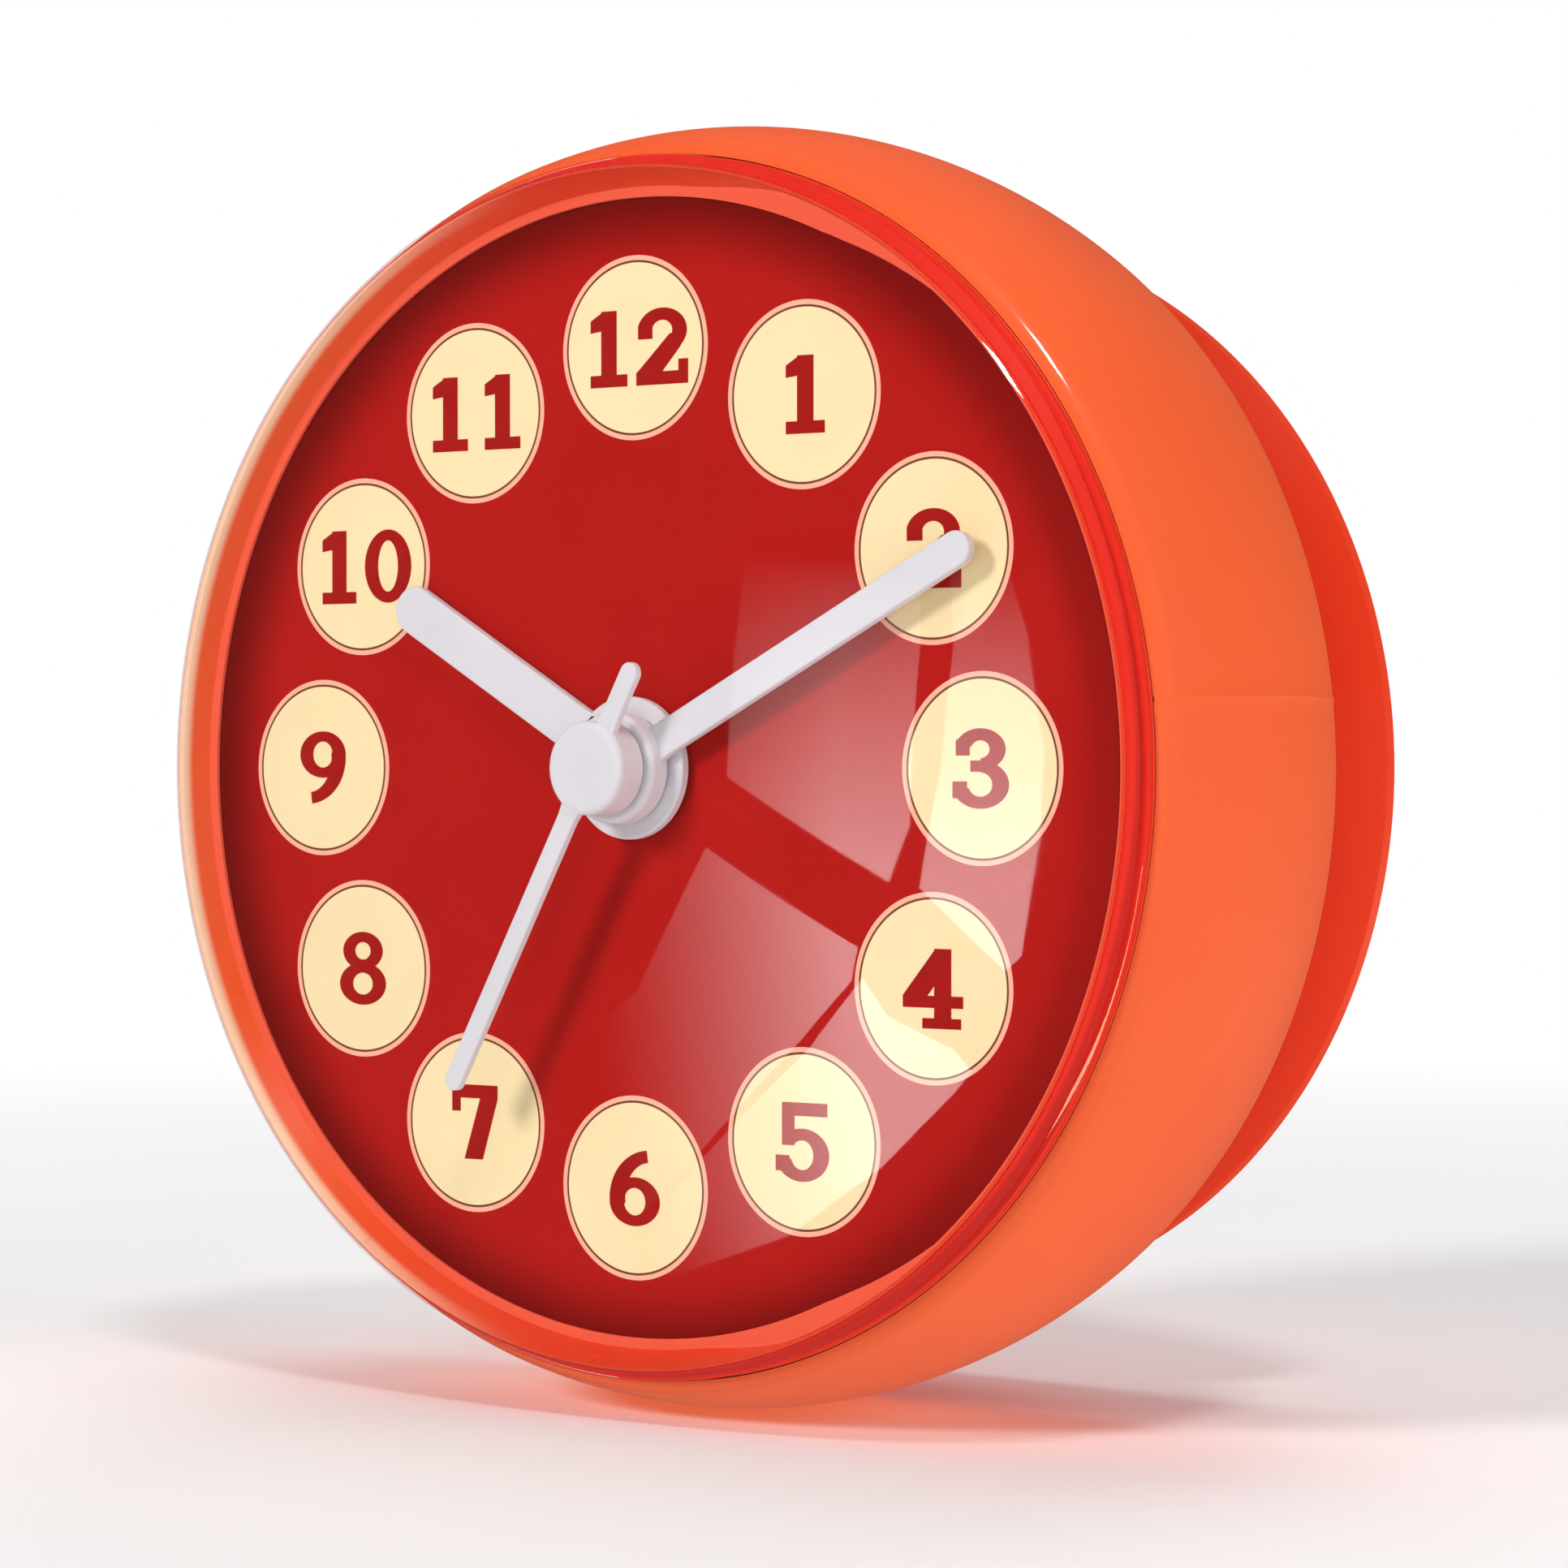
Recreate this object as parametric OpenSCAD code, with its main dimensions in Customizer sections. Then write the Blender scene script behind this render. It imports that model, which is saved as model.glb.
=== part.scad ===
// Waterproof shower clock: a round clock module that slides into a barrel-shaped shell
// with a suction cup behind it. The suction cup's sealing plane lies on the wall at y = 0,
// the dial faces -Y and twelve o'clock points to +Z. All lengths are millimetres.

/* [Dial and bezel] */
// Diameter of the dial plate
dial_d = 71.2; // [66:0.2:84]
// Thickness of the dial plate
dial_t = 0.8; // [0.6:0.1:1.5]
// Radial gap between the dial edge and the bezel recess
dial_gap = 0.1; // [0.05:0.05:0.2]
// How far the bezel lip covers the dial edge
lip_cover = 0.9; // [0.4:0.1:1.2]
// Height of the bezel's sloped lip in front of the dial
lip_h = 1.8; // [1:0.1:1.8]
// Width of the lip's front edge
lip_edge_w = 0.25; // [0.15:0.05:0.5]
// Width of the flat step between the dial opening and the lip's slope
step_w = 0.6; // [0.2:0.1:0.8]
// Height of that step in front of the dial
step_h = 0.25; // [0.1:0.05:0.5]
// Height of the lens seat in front of the dial
seat_h = 0.2; // [0.1:0.05:0.4]
// How far the housing spigot stands outside the dial edge
spigot_rim = 0.3; // [0.2:0.05:0.6]
// Height of the spigot that the bezel is cemented to
spigot_h = 1.0; // [0.6:0.1:1.6]
// Radial gap of cemented and pressed joints
bond_gap = 0.05; // [0.02:0.01:0.1]
// Thickness of the bezel wall outside the spigot
bezel_wall = 1.4; // [1.2:0.1:2.5]

/* [Lens] */
// Thickness of the lens
lens_t = 0.9; // [0.8:0.05:1.1]
// Thickness of the flat gasket under the lens
gasket_t = 0.4; // [0.2:0.1:0.8]
// Radius of the lens's dome
lens_dome_r = 148; // [120:1:300]
// Rounding of the lens shoulder
lens_shoulder_r = 2.6; // [0.8:0.1:2.8]
// Rounding inside the lens shoulder
lens_inner_round = 0.4; // [0.2:0.1:0.8]
// Gap between the tip of the second hand and the inside of the lens
lens_clear = 0.3; // [0.2:0.05:2]

/* [Hands] */
// Length of the hour hand from the centre
hour_len = 21.3; // [12:0.1:26]
// Width of the hour hand
hour_w = 3.0; // [1:0.1:5]
// Diameter of the hour hand's hub
hour_hub_d = 8.7; // [7:0.1:12]
// Rest angle of the hour hand, clockwise from twelve
hour_angle = 300; // [0:1:359]
// Length of the minute hand from the centre
minute_len = 28.9; // [20:0.1:32]
// Width of the minute hand
minute_w = 2.1; // [1:0.1:4]
// Diameter of the minute hand's hub
minute_hub_d = 6.8; // [5:0.1:10]
// Rest angle of the minute hand, clockwise from twelve
minute_angle = 63; // [0:0.5:359]
// Length of the second hand from the centre
second_len = 22.6; // [15:0.1:30]
// Length of the second hand's tail
second_tail = 6.5; // [4:0.1:12]
// Width of the second hand
second_w = 1.3; // [0.6:0.1:2]
// Diameter of the second hand's hub
second_hub_d = 5.7; // [3:0.1:10]
// Rest angle of the second hand, clockwise from twelve
second_angle = 209; // [0:1:359]
// Thickness of the hour and minute hands
hand_t = 0.6; // [0.4:0.1:1.2]
// Thickness of the second hand's blade
second_t = 0.5; // [0.3:0.05:0.8]
// Height of the minute hand's hub
minute_hub_h = 1.4; // [1.2:0.1:2]
// Height of the second hand's hub
second_hub_h = 2.2; // [1.6:0.1:3]
// How far the second hand's blade lies behind the face of its hub
second_step = 0.35; // [0.1:0.05:0.8]
// Thickness of the second hand's hub over its arbor
hub_roof = 0.6; // [0.4:0.1:1]
// Gap between the dial and the hour hand
hand_rise = 0.3; // [0.2:0.1:1]
// Gap between one hand's hub and the next
hub_gap = 0.25; // [0.2:0.05:0.8]

/* [Shell] */
// Radial gap between the clock module and the shell bore
fit_gap = 0.15; // [0.1:0.05:0.3]
// Thickness of the shell wall at the front rim
rim_wall = 0.5; // [0.45:0.05:2]
// How far the widest part of the barrel stands outside the front rim
barrel_bulge = 2.0; // [1:0.1:4]
// Radius of the barrel's bulge, seen from the side
barrel_arc_r = 26.4; // [25:0.2:60]
// Rounding of the shell's front rim
rim_round = 1.6; // [0.3:0.1:1.8]
// Rounding of the shell's rear edge
rear_round = 1.0; // [0.4:0.1:2]
// Thickness of the shell's rear wall
floor_t = 2.0; // [1.2:0.1:3]
// Height of the ledge that stops the module, above the rear wall
ledge_h = 2.6; // [1:0.1:4]
// Width of the ledge
ledge_w = 1.3; // [0.8:0.1:2]
// Gap between the seated module and the ledge
seat_gap = 0.1; // [0.05:0.05:0.3]

/* [Suction cup] */
// Diameter of the sealing lip
cup_d = 70.2; // [50:0.2:78]
// Height of the cup from the wall to the shell
cup_h = 13.3; // [10:0.1:20]
// Width of the flat sealing lip
cup_lip_w = 1.7; // [1:0.1:4]
// Thickness of the cup at the lip
cup_lip_t = 1.0; // [0.6:0.1:2]
// Height of the boss between the cup's dome and the shell
cup_boss_h = 1.0; // [0.5:0.1:2]
// Diameter of that boss
cup_boss_d = 18; // [16:0.5:30]
// Thickness of the dome at its centre
cup_wall = 2.8; // [2:0.1:4]
// Diameter of the neck through the rear wall
neck_d = 12; // [8:0.5:14]
// Radial gap between the neck and its hole
neck_gap = 0.1; // [0.05:0.05:0.3]
// Diameter of the neck's snap head
head_d = 16; // [14.5:0.5:17]
// Height of the neck's snap head
head_h = 1.6; // [1:0.1:2.5]

/* [Module housing] */
// Thickness of the sleeve wall
sleeve_wall = 2.3; // [2:0.1:3]
// Thickness of the web behind the dial
web_t = 1.8; // [1.5:0.1:3]
// Section diameter of the O-ring
oring_d = 1.4; // [1:0.1:1.6]
// Distance of the O-ring behind the bezel
oring_drop = 5.4; // [3:0.1:7]
// Gap that the unsqueezed O-ring keeps from the bore and its groove
oring_gap = 0.05; // [0.02:0.01:0.1]
// Free space between the movement and what stands on the shell's rear wall
behind_gap = 0.7; // [0.4:0.1:3]

/* [Movement case] */
// Width of the movement
case_w = 52; // [47:0.5:57]
// Height of the movement
case_h = 40; // [36.5:0.5:43]
// Corner radius of the movement
case_corner = 4; // [3:0.5:5]
// Thickness of the front plate
plate_t = 1.5; // [1:0.1:2.5]
// Thickness of the cover's walls and floor
cover_t = 1.2; // [0.8:0.1:1.4]
// Outside diameter of the centre bush
bush_d = 6.8; // [6:0.1:7]
// Gap between the bush and the holes in web and dial
bush_gap = 0.1; // [0.05:0.05:0.3]
// Distance of the screws from the case's sides
screw_inset = 3.7; // [3.6:0.1:4.2]
// Diameter of the screw pillars
pillar_d = 6.4; // [5:0.1:7]
// Diameter of the housing bosses that take the screws
boss_d = 4.4; // [3.5:0.1:5]
// How far the bosses reach behind the front plate
boss_reach = 3.7; // [2:0.1:5]
// Thickness under a screw head
screw_seat_t = 2.0; // [1:0.1:2.5]
// Shank diameter of the screws
screw_d = 1.4; // [1:0.1:2]
// Length of the screws under the head
screw_len = 6; // [4:0.5:7]
// Head diameter of the screws
screw_head_d = 3.0; // [2.4:0.1:3.6]
// Head height of the screws
screw_head_h = 1.1; // [0.6:0.1:1.4]
// Radial gap round the screw heads
screw_head_gap = 0.5; // [0.2:0.1:0.8]
// Radial gap round the screw shanks in the cover
screw_gap = 0.06; // [0.04:0.01:0.2]
// Free depth of the screw holes past the screws' ends
screw_end_gap = 0.3; // [0.1:0.1:0.8]

/* [Gear train] */
// Thickness of the wheels
wheel_t = 0.7; // [0.5:0.05:0.9]
// Distance from one wheel level to the next
level_pitch = 1.3; // [1.2:0.05:1.6]
// Free space behind the last wheel
end_gap = 0.7; // [0.4:0.1:1.5]
// Free space in front of the first wheel
front_gap = 0.3; // [0.2:0.05:0.6]
// Module of the cannon pinion and minute wheel
motion_mod = 0.3; // [0.29:0.005:0.31]
// Module of the seconds pinion and third wheel
third_mod = 0.2; // [0.195:0.0025:0.205]
// Module of the intermediate pinion and seconds wheel
inter_mod = 0.2; // [0.1975:0.0025:0.205]
// Module of the rotor pinion and intermediate wheel
rotor_mod = 0.16; // [0.155:0.0025:0.17]
// Diameter of the arbors
arbor_d = 0.9; // [0.7:0.05:1]
// Radial running clearance of arbors and tubes
run_gap = 0.05; // [0.03:0.01:0.08]
// Diameter of the seconds arbor where it carries the hand
seconds_arbor_d = 1.2; // [0.9:0.05:1.3]
// Diameter of the cannon pinion's tail
cannon_tail_d = 2.4; // [2.2:0.05:2.6]
// Diameter of the cannon pinion's tube
cannon_tube_d = 3.5; // [3.2:0.05:3.6]
// Diameter of the hour wheel's tube
hour_tube_d = 5.0; // [4.6:0.05:5.4]

/* [Setting knob] */
// Diameter of the knob
knob_d = 6.8; // [5:0.1:8]
// Height of the knob
knob_h = 1.5; // [1:0.1:2]
// Gap between the knob and the cover
knob_gap = 0.2; // [0.1:0.05:0.5]
// Diameter of the knob's stem
stem_d = 2.4; // [2:0.1:3]
// Number of grip grooves round the knob
knob_grooves = 16; // [8:1:20]
// Diameter of the grip grooves
groove_d = 0.8; // [0.4:0.1:1]

/* [Motor and electronics] */
// Diameter of the rotor magnet
magnet_d = 4.8; // [3.5:0.1:5]
// Height of the rotor magnet
magnet_h = 1.4; // [0.8:0.1:1.6]
// Air gap round the rotor magnet
air_gap = 0.4; // [0.2:0.05:0.6]
// Thickness of the stator sheet
stator_t = 0.8; // [0.5:0.05:1]
// Width of the stator sheet round the rotor
stator_w = 7.5; // [6.6:0.1:7.5]
// Width of the stator arms
stator_arm_w = 3; // [2:0.1:4]
// Distance between the outer edges of the stator arms
stator_span = 22; // [19:0.2:24]
// Distance of the pins that hold the stator from the rotor's axis, sideways
stator_pin_shift = 2; // [1:0.1:2.4]
// Gap between the coil bobbin and the stator arms
bobbin_gap = 0.5; // [0.2:0.1:2]
// Gap between the bobbin flanges and the cover's side wall
coil_side_gap = 0.3; // [0.1:0.1:1]
// Diameter of the bobbin flanges
flange_d = 6.4; // [5:0.1:6.8]
// Thickness of the bobbin flanges
flange_t = 0.8; // [0.5:0.1:1.2]
// Outside diameter of the winding
winding_d = 5.6; // [4:0.1:6]
// Diameter of the bobbin's tube
bobbin_d = 3.2; // [2.8:0.1:3.6]
// Width of the iron core
core_w = 2.0; // [1.2:0.1:2.2]
// Thickness of the iron core
core_t = 1.0; // [0.6:0.1:1.4]
// Width of the circuit board
board_w = 13.5; // [12:0.1:14]
// Height of the circuit board
board_h = 10; // [9:0.1:10.4]
// Thickness of the circuit board
board_t = 0.8; // [0.6:0.1:1.2]
// Gap between the circuit board and the front plate
board_rise = 0.8; // [0.5:0.1:1.2]
// Gap between the circuit board and the cover's side wall
board_side_gap = 0.8; // [0.4:0.1:1.5]
// Gap between the circuit board and the screw boss above it
board_top_gap = 1.5; // [0.5:0.1:3]
// Distance of the board's holes from its edges
board_hole_edge = 2; // [1.6:0.1:2.4]
// Diameter of the sealed chip
chip_d = 4.8; // [3:0.1:5]
// Height of the sealed chip
chip_h = 1.25; // [0.8:0.05:1.6]
// Distance of the chip from the board's side edge
chip_edge = 0.6; // [0.3:0.1:1]
// Distance of the chip from the board's lower edge
chip_rise = 3.6; // [3:0.1:4.4]
// Diameter of the crystal's can
crystal_d = 2.0; // [1.5:0.1:2.4]
// Length of the crystal's can
crystal_len = 6; // [5:0.1:6.5]
// Distance of the crystal from the board's side edge
crystal_edge = 0.6; // [0.2:0.1:1]
// Height of the crystal's axis over the board's lower edge
crystal_rise = 5.5; // [5:0.1:6]
// Diameter of the button cell
cell_d = 11.6; // [9.5:0.1:11.8]
// Height of the button cell
cell_h = 5.4; // [3.6:0.1:5.6]
// Height of the step round the button cell's cap
cell_cap_h = 1.2; // [0.6:0.1:1.6]
// Width of the step round the button cell's cap
cell_rim = 1.0; // [0.5:0.1:1.5]
// Radial gap round the button cell
cell_gap = 0.3; // [0.2:0.05:0.4]
// Gap between the button cell and the cover's lower wall
cell_side_gap = 0.6; // [0.4:0.1:1]
// Gap between the button cell and the screw pillar beside it
cell_pillar_gap = 0.6; // [0.4:0.1:1]
// How far the cell's rear face lies inside the cover's rear face
cell_sink = 0.3; // [0.1:0.1:0.6]
// Diameter of the posts round the button cell
cell_post_d = 1.4; // [1:0.1:1.8]
// How far the posts end behind the cell's front
cell_post_drop = 1; // [0.5:0.1:2]
// Thickness of the spring contacts
contact_t = 0.3; // [0.2:0.05:0.4]
// Width of the contact in front of the cell
leaf_w = 3; // [2:0.1:4]
// Length and width of the contacts' feet on the circuit board
contact_foot = 1.6; // [1.2:0.1:2]
// Distance of the side contact's foot from the board's lower edge
foot_edge = 0.2; // [0.1:0.1:0.5]
// How far the side contact reaches past the middle of the cell
contact_reach = 1.0; // [0.5:0.1:1.5]
// Gap between the side contact and the cover's floor
contact_lift = 0.2; // [0.1:0.1:1]

/* [Hidden] */

$fn = 72;
// Facets of the large shallow arcs in the lens, barrel and cup profiles
arc_fn = 1440;
// Overlap that keeps cuts clean
eps = 0.01;

// Radii from the dial outwards
dial_r = dial_d / 2;
opening_r = dial_r - lip_cover;
spigot_r = dial_r + spigot_rim;
bezel_bore_r = spigot_r + bond_gap;
module_r = bezel_bore_r + bezel_wall;
bore_r = module_r + fit_gap;
rim_r = bore_r + rim_wall;
barrel_r = rim_r + barrel_bulge;
sleeve_in_r = module_r - sleeve_wall;
lens_in_r = module_r - lens_t;
lip_out_r = lens_in_r - bond_gap;

// Distances from the wall, from the shell's rear face forwards
shell_rear = cup_h;
shell_floor = shell_rear + floor_t;
cover_rear = shell_floor + max(head_h, knob_gap + knob_h) + behind_gap;
cover_floor = cover_rear + cover_t;
// Wheel levels, counted from the front plate backwards
hour_level = 1;
motion_level = 2;
center_level = 3;
third_level = 4;
seconds_level = 5;
rotor_level = 6;
plate_back = cover_floor + end_gap + (rotor_level - 1) * level_pitch + wheel_t + front_gap;
plate_front = plate_back + plate_t;
dial_back = plate_front + web_t;
dial_front = dial_back + dial_t;
shoulder_z = dial_back - spigot_h;
seat_z = dial_front + seat_h;
lip_top = dial_front + lip_h;
ledge_top = shell_floor + ledge_h;
module_rear = ledge_top + seat_gap;
oring_z = shoulder_z - oring_drop;

// Hands, stacked from the dial forwards
hour_z = dial_front + hand_rise;
hour_top = hour_z + hand_t;
minute_z = hour_top + hub_gap;
minute_top = minute_z + minute_hub_h;
second_z = minute_top + hub_gap;
second_top = second_z + second_hub_h;
second_front = second_top - second_step;
seconds_arbor_top = second_top - hub_roof;

// Lens: the inside of its dome clears the tip of the second hand
lens_foot = seat_z + gasket_t;
dome_z = second_front + lens_clear - sqrt(pow(lens_dome_r - lens_t, 2) - pow(second_len, 2));
lens_top = dome_z + lens_dome_r;

// Barrel arc of the shell
shell_front = seat_z;
barrel_x = barrel_r - barrel_arc_r;
barrel_z = shell_front - sqrt(2 * barrel_arc_r * barrel_bulge - pow(barrel_bulge, 2));

// Suction cup domes, both through a lip circle and an apex
cup_r = cup_d / 2;
cup_apex = cup_h - cup_boss_h;
cup_rise = cup_apex - cup_lip_t;
cup_out_r = (pow(cup_r, 2) + pow(cup_rise, 2)) / (2 * cup_rise);
cup_hollow = cup_apex - cup_wall;
cup_hollow_r = cup_r - cup_lip_w;
cup_in_r = (pow(cup_hollow_r, 2) + pow(cup_hollow, 2)) / (2 * cup_hollow);

// Gear teeth: counts, and proportions in modules or shares of the tooth pitch
cannon_teeth = 12;
minute_teeth = 36;
minute_pinion_teeth = 10;
hour_teeth = 40;
knob_teeth = 12;
seconds_teeth = 60;
seconds_pinion_teeth = 8;
third_teeth = 60;
third_pinion_teeth = 8;
center_teeth = 64;
inter_teeth = 60;
inter_pinion_teeth = 10;
rotor_teeth = 12;
tooth_up = 0.8;
tooth_down = 1.15;
tooth_root_share = 0.46;
tooth_tip_share = 0.2;

// Windows in the wheels, as shares of the pitch radius
window_place = 0.58;
window_size = 0.42;
// Cross slots in the screw heads, as shares of the head's diameter
slot_length = 0.65;
slot_width = 0.16;

// Places of the arbors round the centre
minute_dir = 90;
third_dir = 170;
inter_dir = 320;
rotor_dir = 20;
knob_dir = 150;
motion_dist = gear_distance(motion_mod, cannon_teeth, minute_teeth);
hour_mod = 2 * motion_dist / (minute_pinion_teeth + hour_teeth);
third_dist = gear_distance(third_mod, seconds_pinion_teeth, third_teeth);
center_mod = 2 * third_dist / (third_pinion_teeth + center_teeth);
inter_dist = gear_distance(inter_mod, inter_pinion_teeth, seconds_teeth);
rotor_dist = gear_distance(rotor_mod, rotor_teeth, inter_teeth);
knob_dist = gear_distance(motion_mod, knob_teeth, minute_teeth);
minute_at = polar(motion_dist, minute_dir);
third_at = polar(third_dist, third_dir);
inter_at = polar(inter_dist, inter_dir);
rotor_at = inter_at + polar(rotor_dist, rotor_dir);
knob_at = minute_at + polar(knob_dist, knob_dir);
arbors_at = [minute_at, third_at, inter_at, rotor_at, knob_at];
arbor_end = 0.2;

// Screws, board, cell and motor inside the movement
screw_x = case_w / 2 - screw_inset;
screw_y = case_h / 2 - screw_inset;
screws_at = [for (x = [-1, 1], y = [-1, 1]) [x * screw_x, y * screw_y]];
pillar_top = plate_back - boss_reach;
screw_rear = pillar_top - screw_seat_t;
// Radial gap of screws in their holes and of wheels and hands on their arbors
pilot_gap = 0.03;
board_left = cover_t + board_side_gap - case_w / 2;
board_low = screw_y - boss_d / 2 - board_top_gap - board_h;
board_at = [board_left, board_low];
board_front = plate_back - board_rise;
board_back = board_front - board_t;
board_screw_at = board_at + [board_w / 2, board_h - board_hole_edge];
board_pin_at = board_at + [board_w - board_hole_edge, board_hole_edge];
board_screw_d = 1.2;
board_screw_head_d = 2.4;
board_screw_head_h = 0.7;
standoff_d = 3;
cell_y = cover_t + cell_side_gap + cell_d / 2 - case_h / 2;
cell_reach = (pillar_d + cell_d) / 2 + cell_pillar_gap;
cell_x = sqrt(pow(cell_reach, 2) - pow(cell_y + screw_y, 2)) - screw_x;
cell_at = [cell_x, cell_y];
cell_rear = cover_rear + cell_sink;
cell_front = cell_rear + cell_h;
cell_post_dirs = [20, 110, 320];
stator_x = rotor_at[0];
stator_back = wheel_z(center_level);
stator_front = stator_back + stator_t;
stator_post_at = [for (s = [-1, 1]) [stator_x - stator_pin_shift, s * (stator_span - stator_arm_w) / 2]];
stator_post_d = 2;
stator_pin_d = 1.2;
core_front = stator_back;
core_mid = core_front - core_t / 2;
core_len = stator_span;
coil_x = case_w / 2 - cover_t - coil_side_gap - flange_d / 2;
bobbin_len = stator_span - 2 * (stator_arm_w + bobbin_gap);
// Gap between the winding, the crystal and the contacts and what they lie on
winding_gap = 0.05;

shell_orange = [0.95, 0.40, 0.22];
bezel_orange = [0.92, 0.31, 0.16];
cup_red = [0.86, 0.15, 0.09];
dial_red = [0.72, 0.11, 0.09];
hand_white = [0.90, 0.89, 0.91];
wheel_white = [0.92, 0.91, 0.86];
case_black = [0.13, 0.13, 0.14];
brass = [0.78, 0.62, 0.30];
steel = [0.70, 0.71, 0.73];

function polar(r, a) = r * [cos(a), sin(a)];
function gear_distance(mod, a, b) = mod * (a + b) / 2;
function wheel_z(level) = cover_floor + end_gap + (rotor_level - level) * level_pitch;
function wheel_top(level) = wheel_z(level) + wheel_t;

// Angle of a tooth on wheel B, which lies in direction dir from wheel A, so that the teeth mesh
function mesh_angle(dir, angle_a, teeth_a, teeth_b) =
    dir + 180 - ((angle_a - dir) * teeth_a + 180) / teeth_b;

// Outline of a gear whose first tooth points along angle
function gear_outline(teeth, mod, angle) = let(
    pitch = 360 / teeth,
    root_r = mod * (teeth / 2 - tooth_down),
    tip_r = mod * (teeth / 2 + tooth_up)
) [
    for (i = [0 : teeth - 1])
        let (a = angle + i * pitch)
            each [
                polar(root_r, a - pitch * tooth_root_share / 2),
                polar(tip_r, a - pitch * tooth_tip_share / 2),
                polar(tip_r, a + pitch * tooth_tip_share / 2),
                polar(root_r, a + pitch * tooth_root_share / 2)
            ]
];

// Turns x right, y up, z out of the wall into the part's own frame
module on_wall() {
    rotate([90, 0, 0]) children();
}

module rod(d, z0, z1) {
    translate([0, 0, z0]) cylinder(d = d, h = z1 - z0);
}

module at(place) {
    translate([place[0], place[1], 0]) children();
}

module gear(teeth, mod, angle, z0, z1) {
    translate([0, 0, z0])
        linear_extrude(z1 - z0) polygon(gear_outline(teeth, mod, angle));
}

// Wheel with four round windows between hub and rim
module windowed_wheel(teeth, mod, angle, z0) {
    pitch_r = teeth * mod / 2;
    difference() {
        gear(teeth, mod, angle, z0, z0 + wheel_t);
        for (a = [45 : 90 : 315])
            at(polar(pitch_r * window_place, angle + a))
                rod(pitch_r * window_size, z0 - eps, z0 + wheel_t + eps);
    }
}

module arbor() {
    rod(arbor_d, cover_rear + arbor_end, plate_front - arbor_end);
}

module case_outline(inset) {
    w = case_w - 2 * inset;
    h = case_h - 2 * inset;
    r = case_corner - inset;
    square([w - 2 * r, h], center = true);
    square([w, h - 2 * r], center = true);
    for (x = [-1, 1], y = [-1, 1])
        translate([x * (w / 2 - r), y * (h / 2 - r)]) circle(r = r);
}

module half_plane(z) {
    translate([0, z]) square([2 * barrel_r, 4 * barrel_r]);
}

// Filled profile of the barrel with both edges rounded
module barrel_profile() {
    front_z = shell_front - rim_round;
    front_x = barrel_x + sqrt(pow(barrel_arc_r - rim_round, 2) - pow(front_z - barrel_z, 2));
    rear_z = shell_rear + rear_round;
    rear_x = barrel_x + sqrt(pow(barrel_arc_r - rear_round, 2) - pow(rear_z - barrel_z, 2));
    front_touch = barrel_z + (front_z - barrel_z) * barrel_arc_r / (barrel_arc_r - rim_round);
    rear_touch = barrel_z + (rear_z - barrel_z) * barrel_arc_r / (barrel_arc_r - rear_round);
    intersection() {
        translate([barrel_x, barrel_z]) circle(r = barrel_arc_r, $fn = arc_fn);
        translate([0, rear_touch]) square([2 * barrel_r, front_touch - rear_touch]);
    }
    translate([front_x, front_z]) circle(r = rim_round);
    translate([rear_x, rear_z]) circle(r = rear_round);
    translate([0, front_touch]) square([front_x, shell_front - front_touch]);
    translate([0, shell_rear]) square([rear_x, rear_touch - shell_rear]);
}

module rear_shell() {
    color(shell_orange) on_wall() difference() {
        rotate_extrude() barrel_profile();
        rod(2 * bore_r, ledge_top, shell_front + eps);
        rod(2 * (bore_r - ledge_w), shell_floor, ledge_top + eps);
        rod(neck_d + 2 * neck_gap, shell_rear - eps, shell_floor + eps);
    }
}

module suction_cup() {
    color(cup_red) on_wall() {
        rotate_extrude() difference() {
            union() {
                intersection() {
                    translate([0, cup_apex - cup_out_r]) circle(r = cup_out_r, $fn = arc_fn);
                    square([cup_r, cup_h]);
                }
                translate([0, cup_apex / 2]) square([cup_boss_d / 2, cup_h - cup_apex / 2]);
            }
            translate([0, cup_hollow - cup_in_r]) circle(r = cup_in_r, $fn = arc_fn);
        }
        rod(neck_d, cup_h - eps, shell_floor + eps);
        translate([0, 0, shell_floor])
            cylinder(d1 = head_d, d2 = neck_d, h = head_h);
    }
}

module module_housing() {
    groove_r = bore_r - oring_d - 2 * oring_gap;
    groove_w = oring_d + 2 * oring_gap;
    color(shell_orange) on_wall() difference() {
        union() {
            rod(2 * module_r, module_rear, shoulder_z);
            rod(2 * spigot_r, module_rear, dial_back);
        }
        difference() {
            rod(2 * sleeve_in_r, module_rear - eps, plate_front);
            for (p = screws_at) at(p) rod(boss_d, pillar_top, plate_front + eps);
        }
        translate([0, 0, oring_z - groove_w / 2]) difference() {
            cylinder(r = rim_r, h = groove_w);
            translate([0, 0, -eps]) cylinder(r = groove_r, h = groove_w + 2 * eps);
        }
        rod(bush_d + 2 * bush_gap, plate_front - eps, dial_back + eps);
        for (p = screws_at) at(p)
            rod(screw_d + 2 * pilot_gap, pillar_top - eps, screw_rear + screw_len + screw_end_gap);
    }
}

module bezel() {
    color(bezel_orange) on_wall() rotate_extrude() polygon([
        [bezel_bore_r, shoulder_z],
        [module_r, shoulder_z],
        [module_r, seat_z],
        [lip_out_r, seat_z],
        [lip_out_r, lip_top],
        [lip_out_r - lip_edge_w, lip_top],
        [opening_r + step_w, dial_front + step_h],
        [opening_r, dial_front + step_h],
        [opening_r, dial_front],
        [dial_r + dial_gap, dial_front],
        [dial_r + dial_gap, dial_back],
        [bezel_bore_r, dial_back]
    ]);
}

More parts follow.
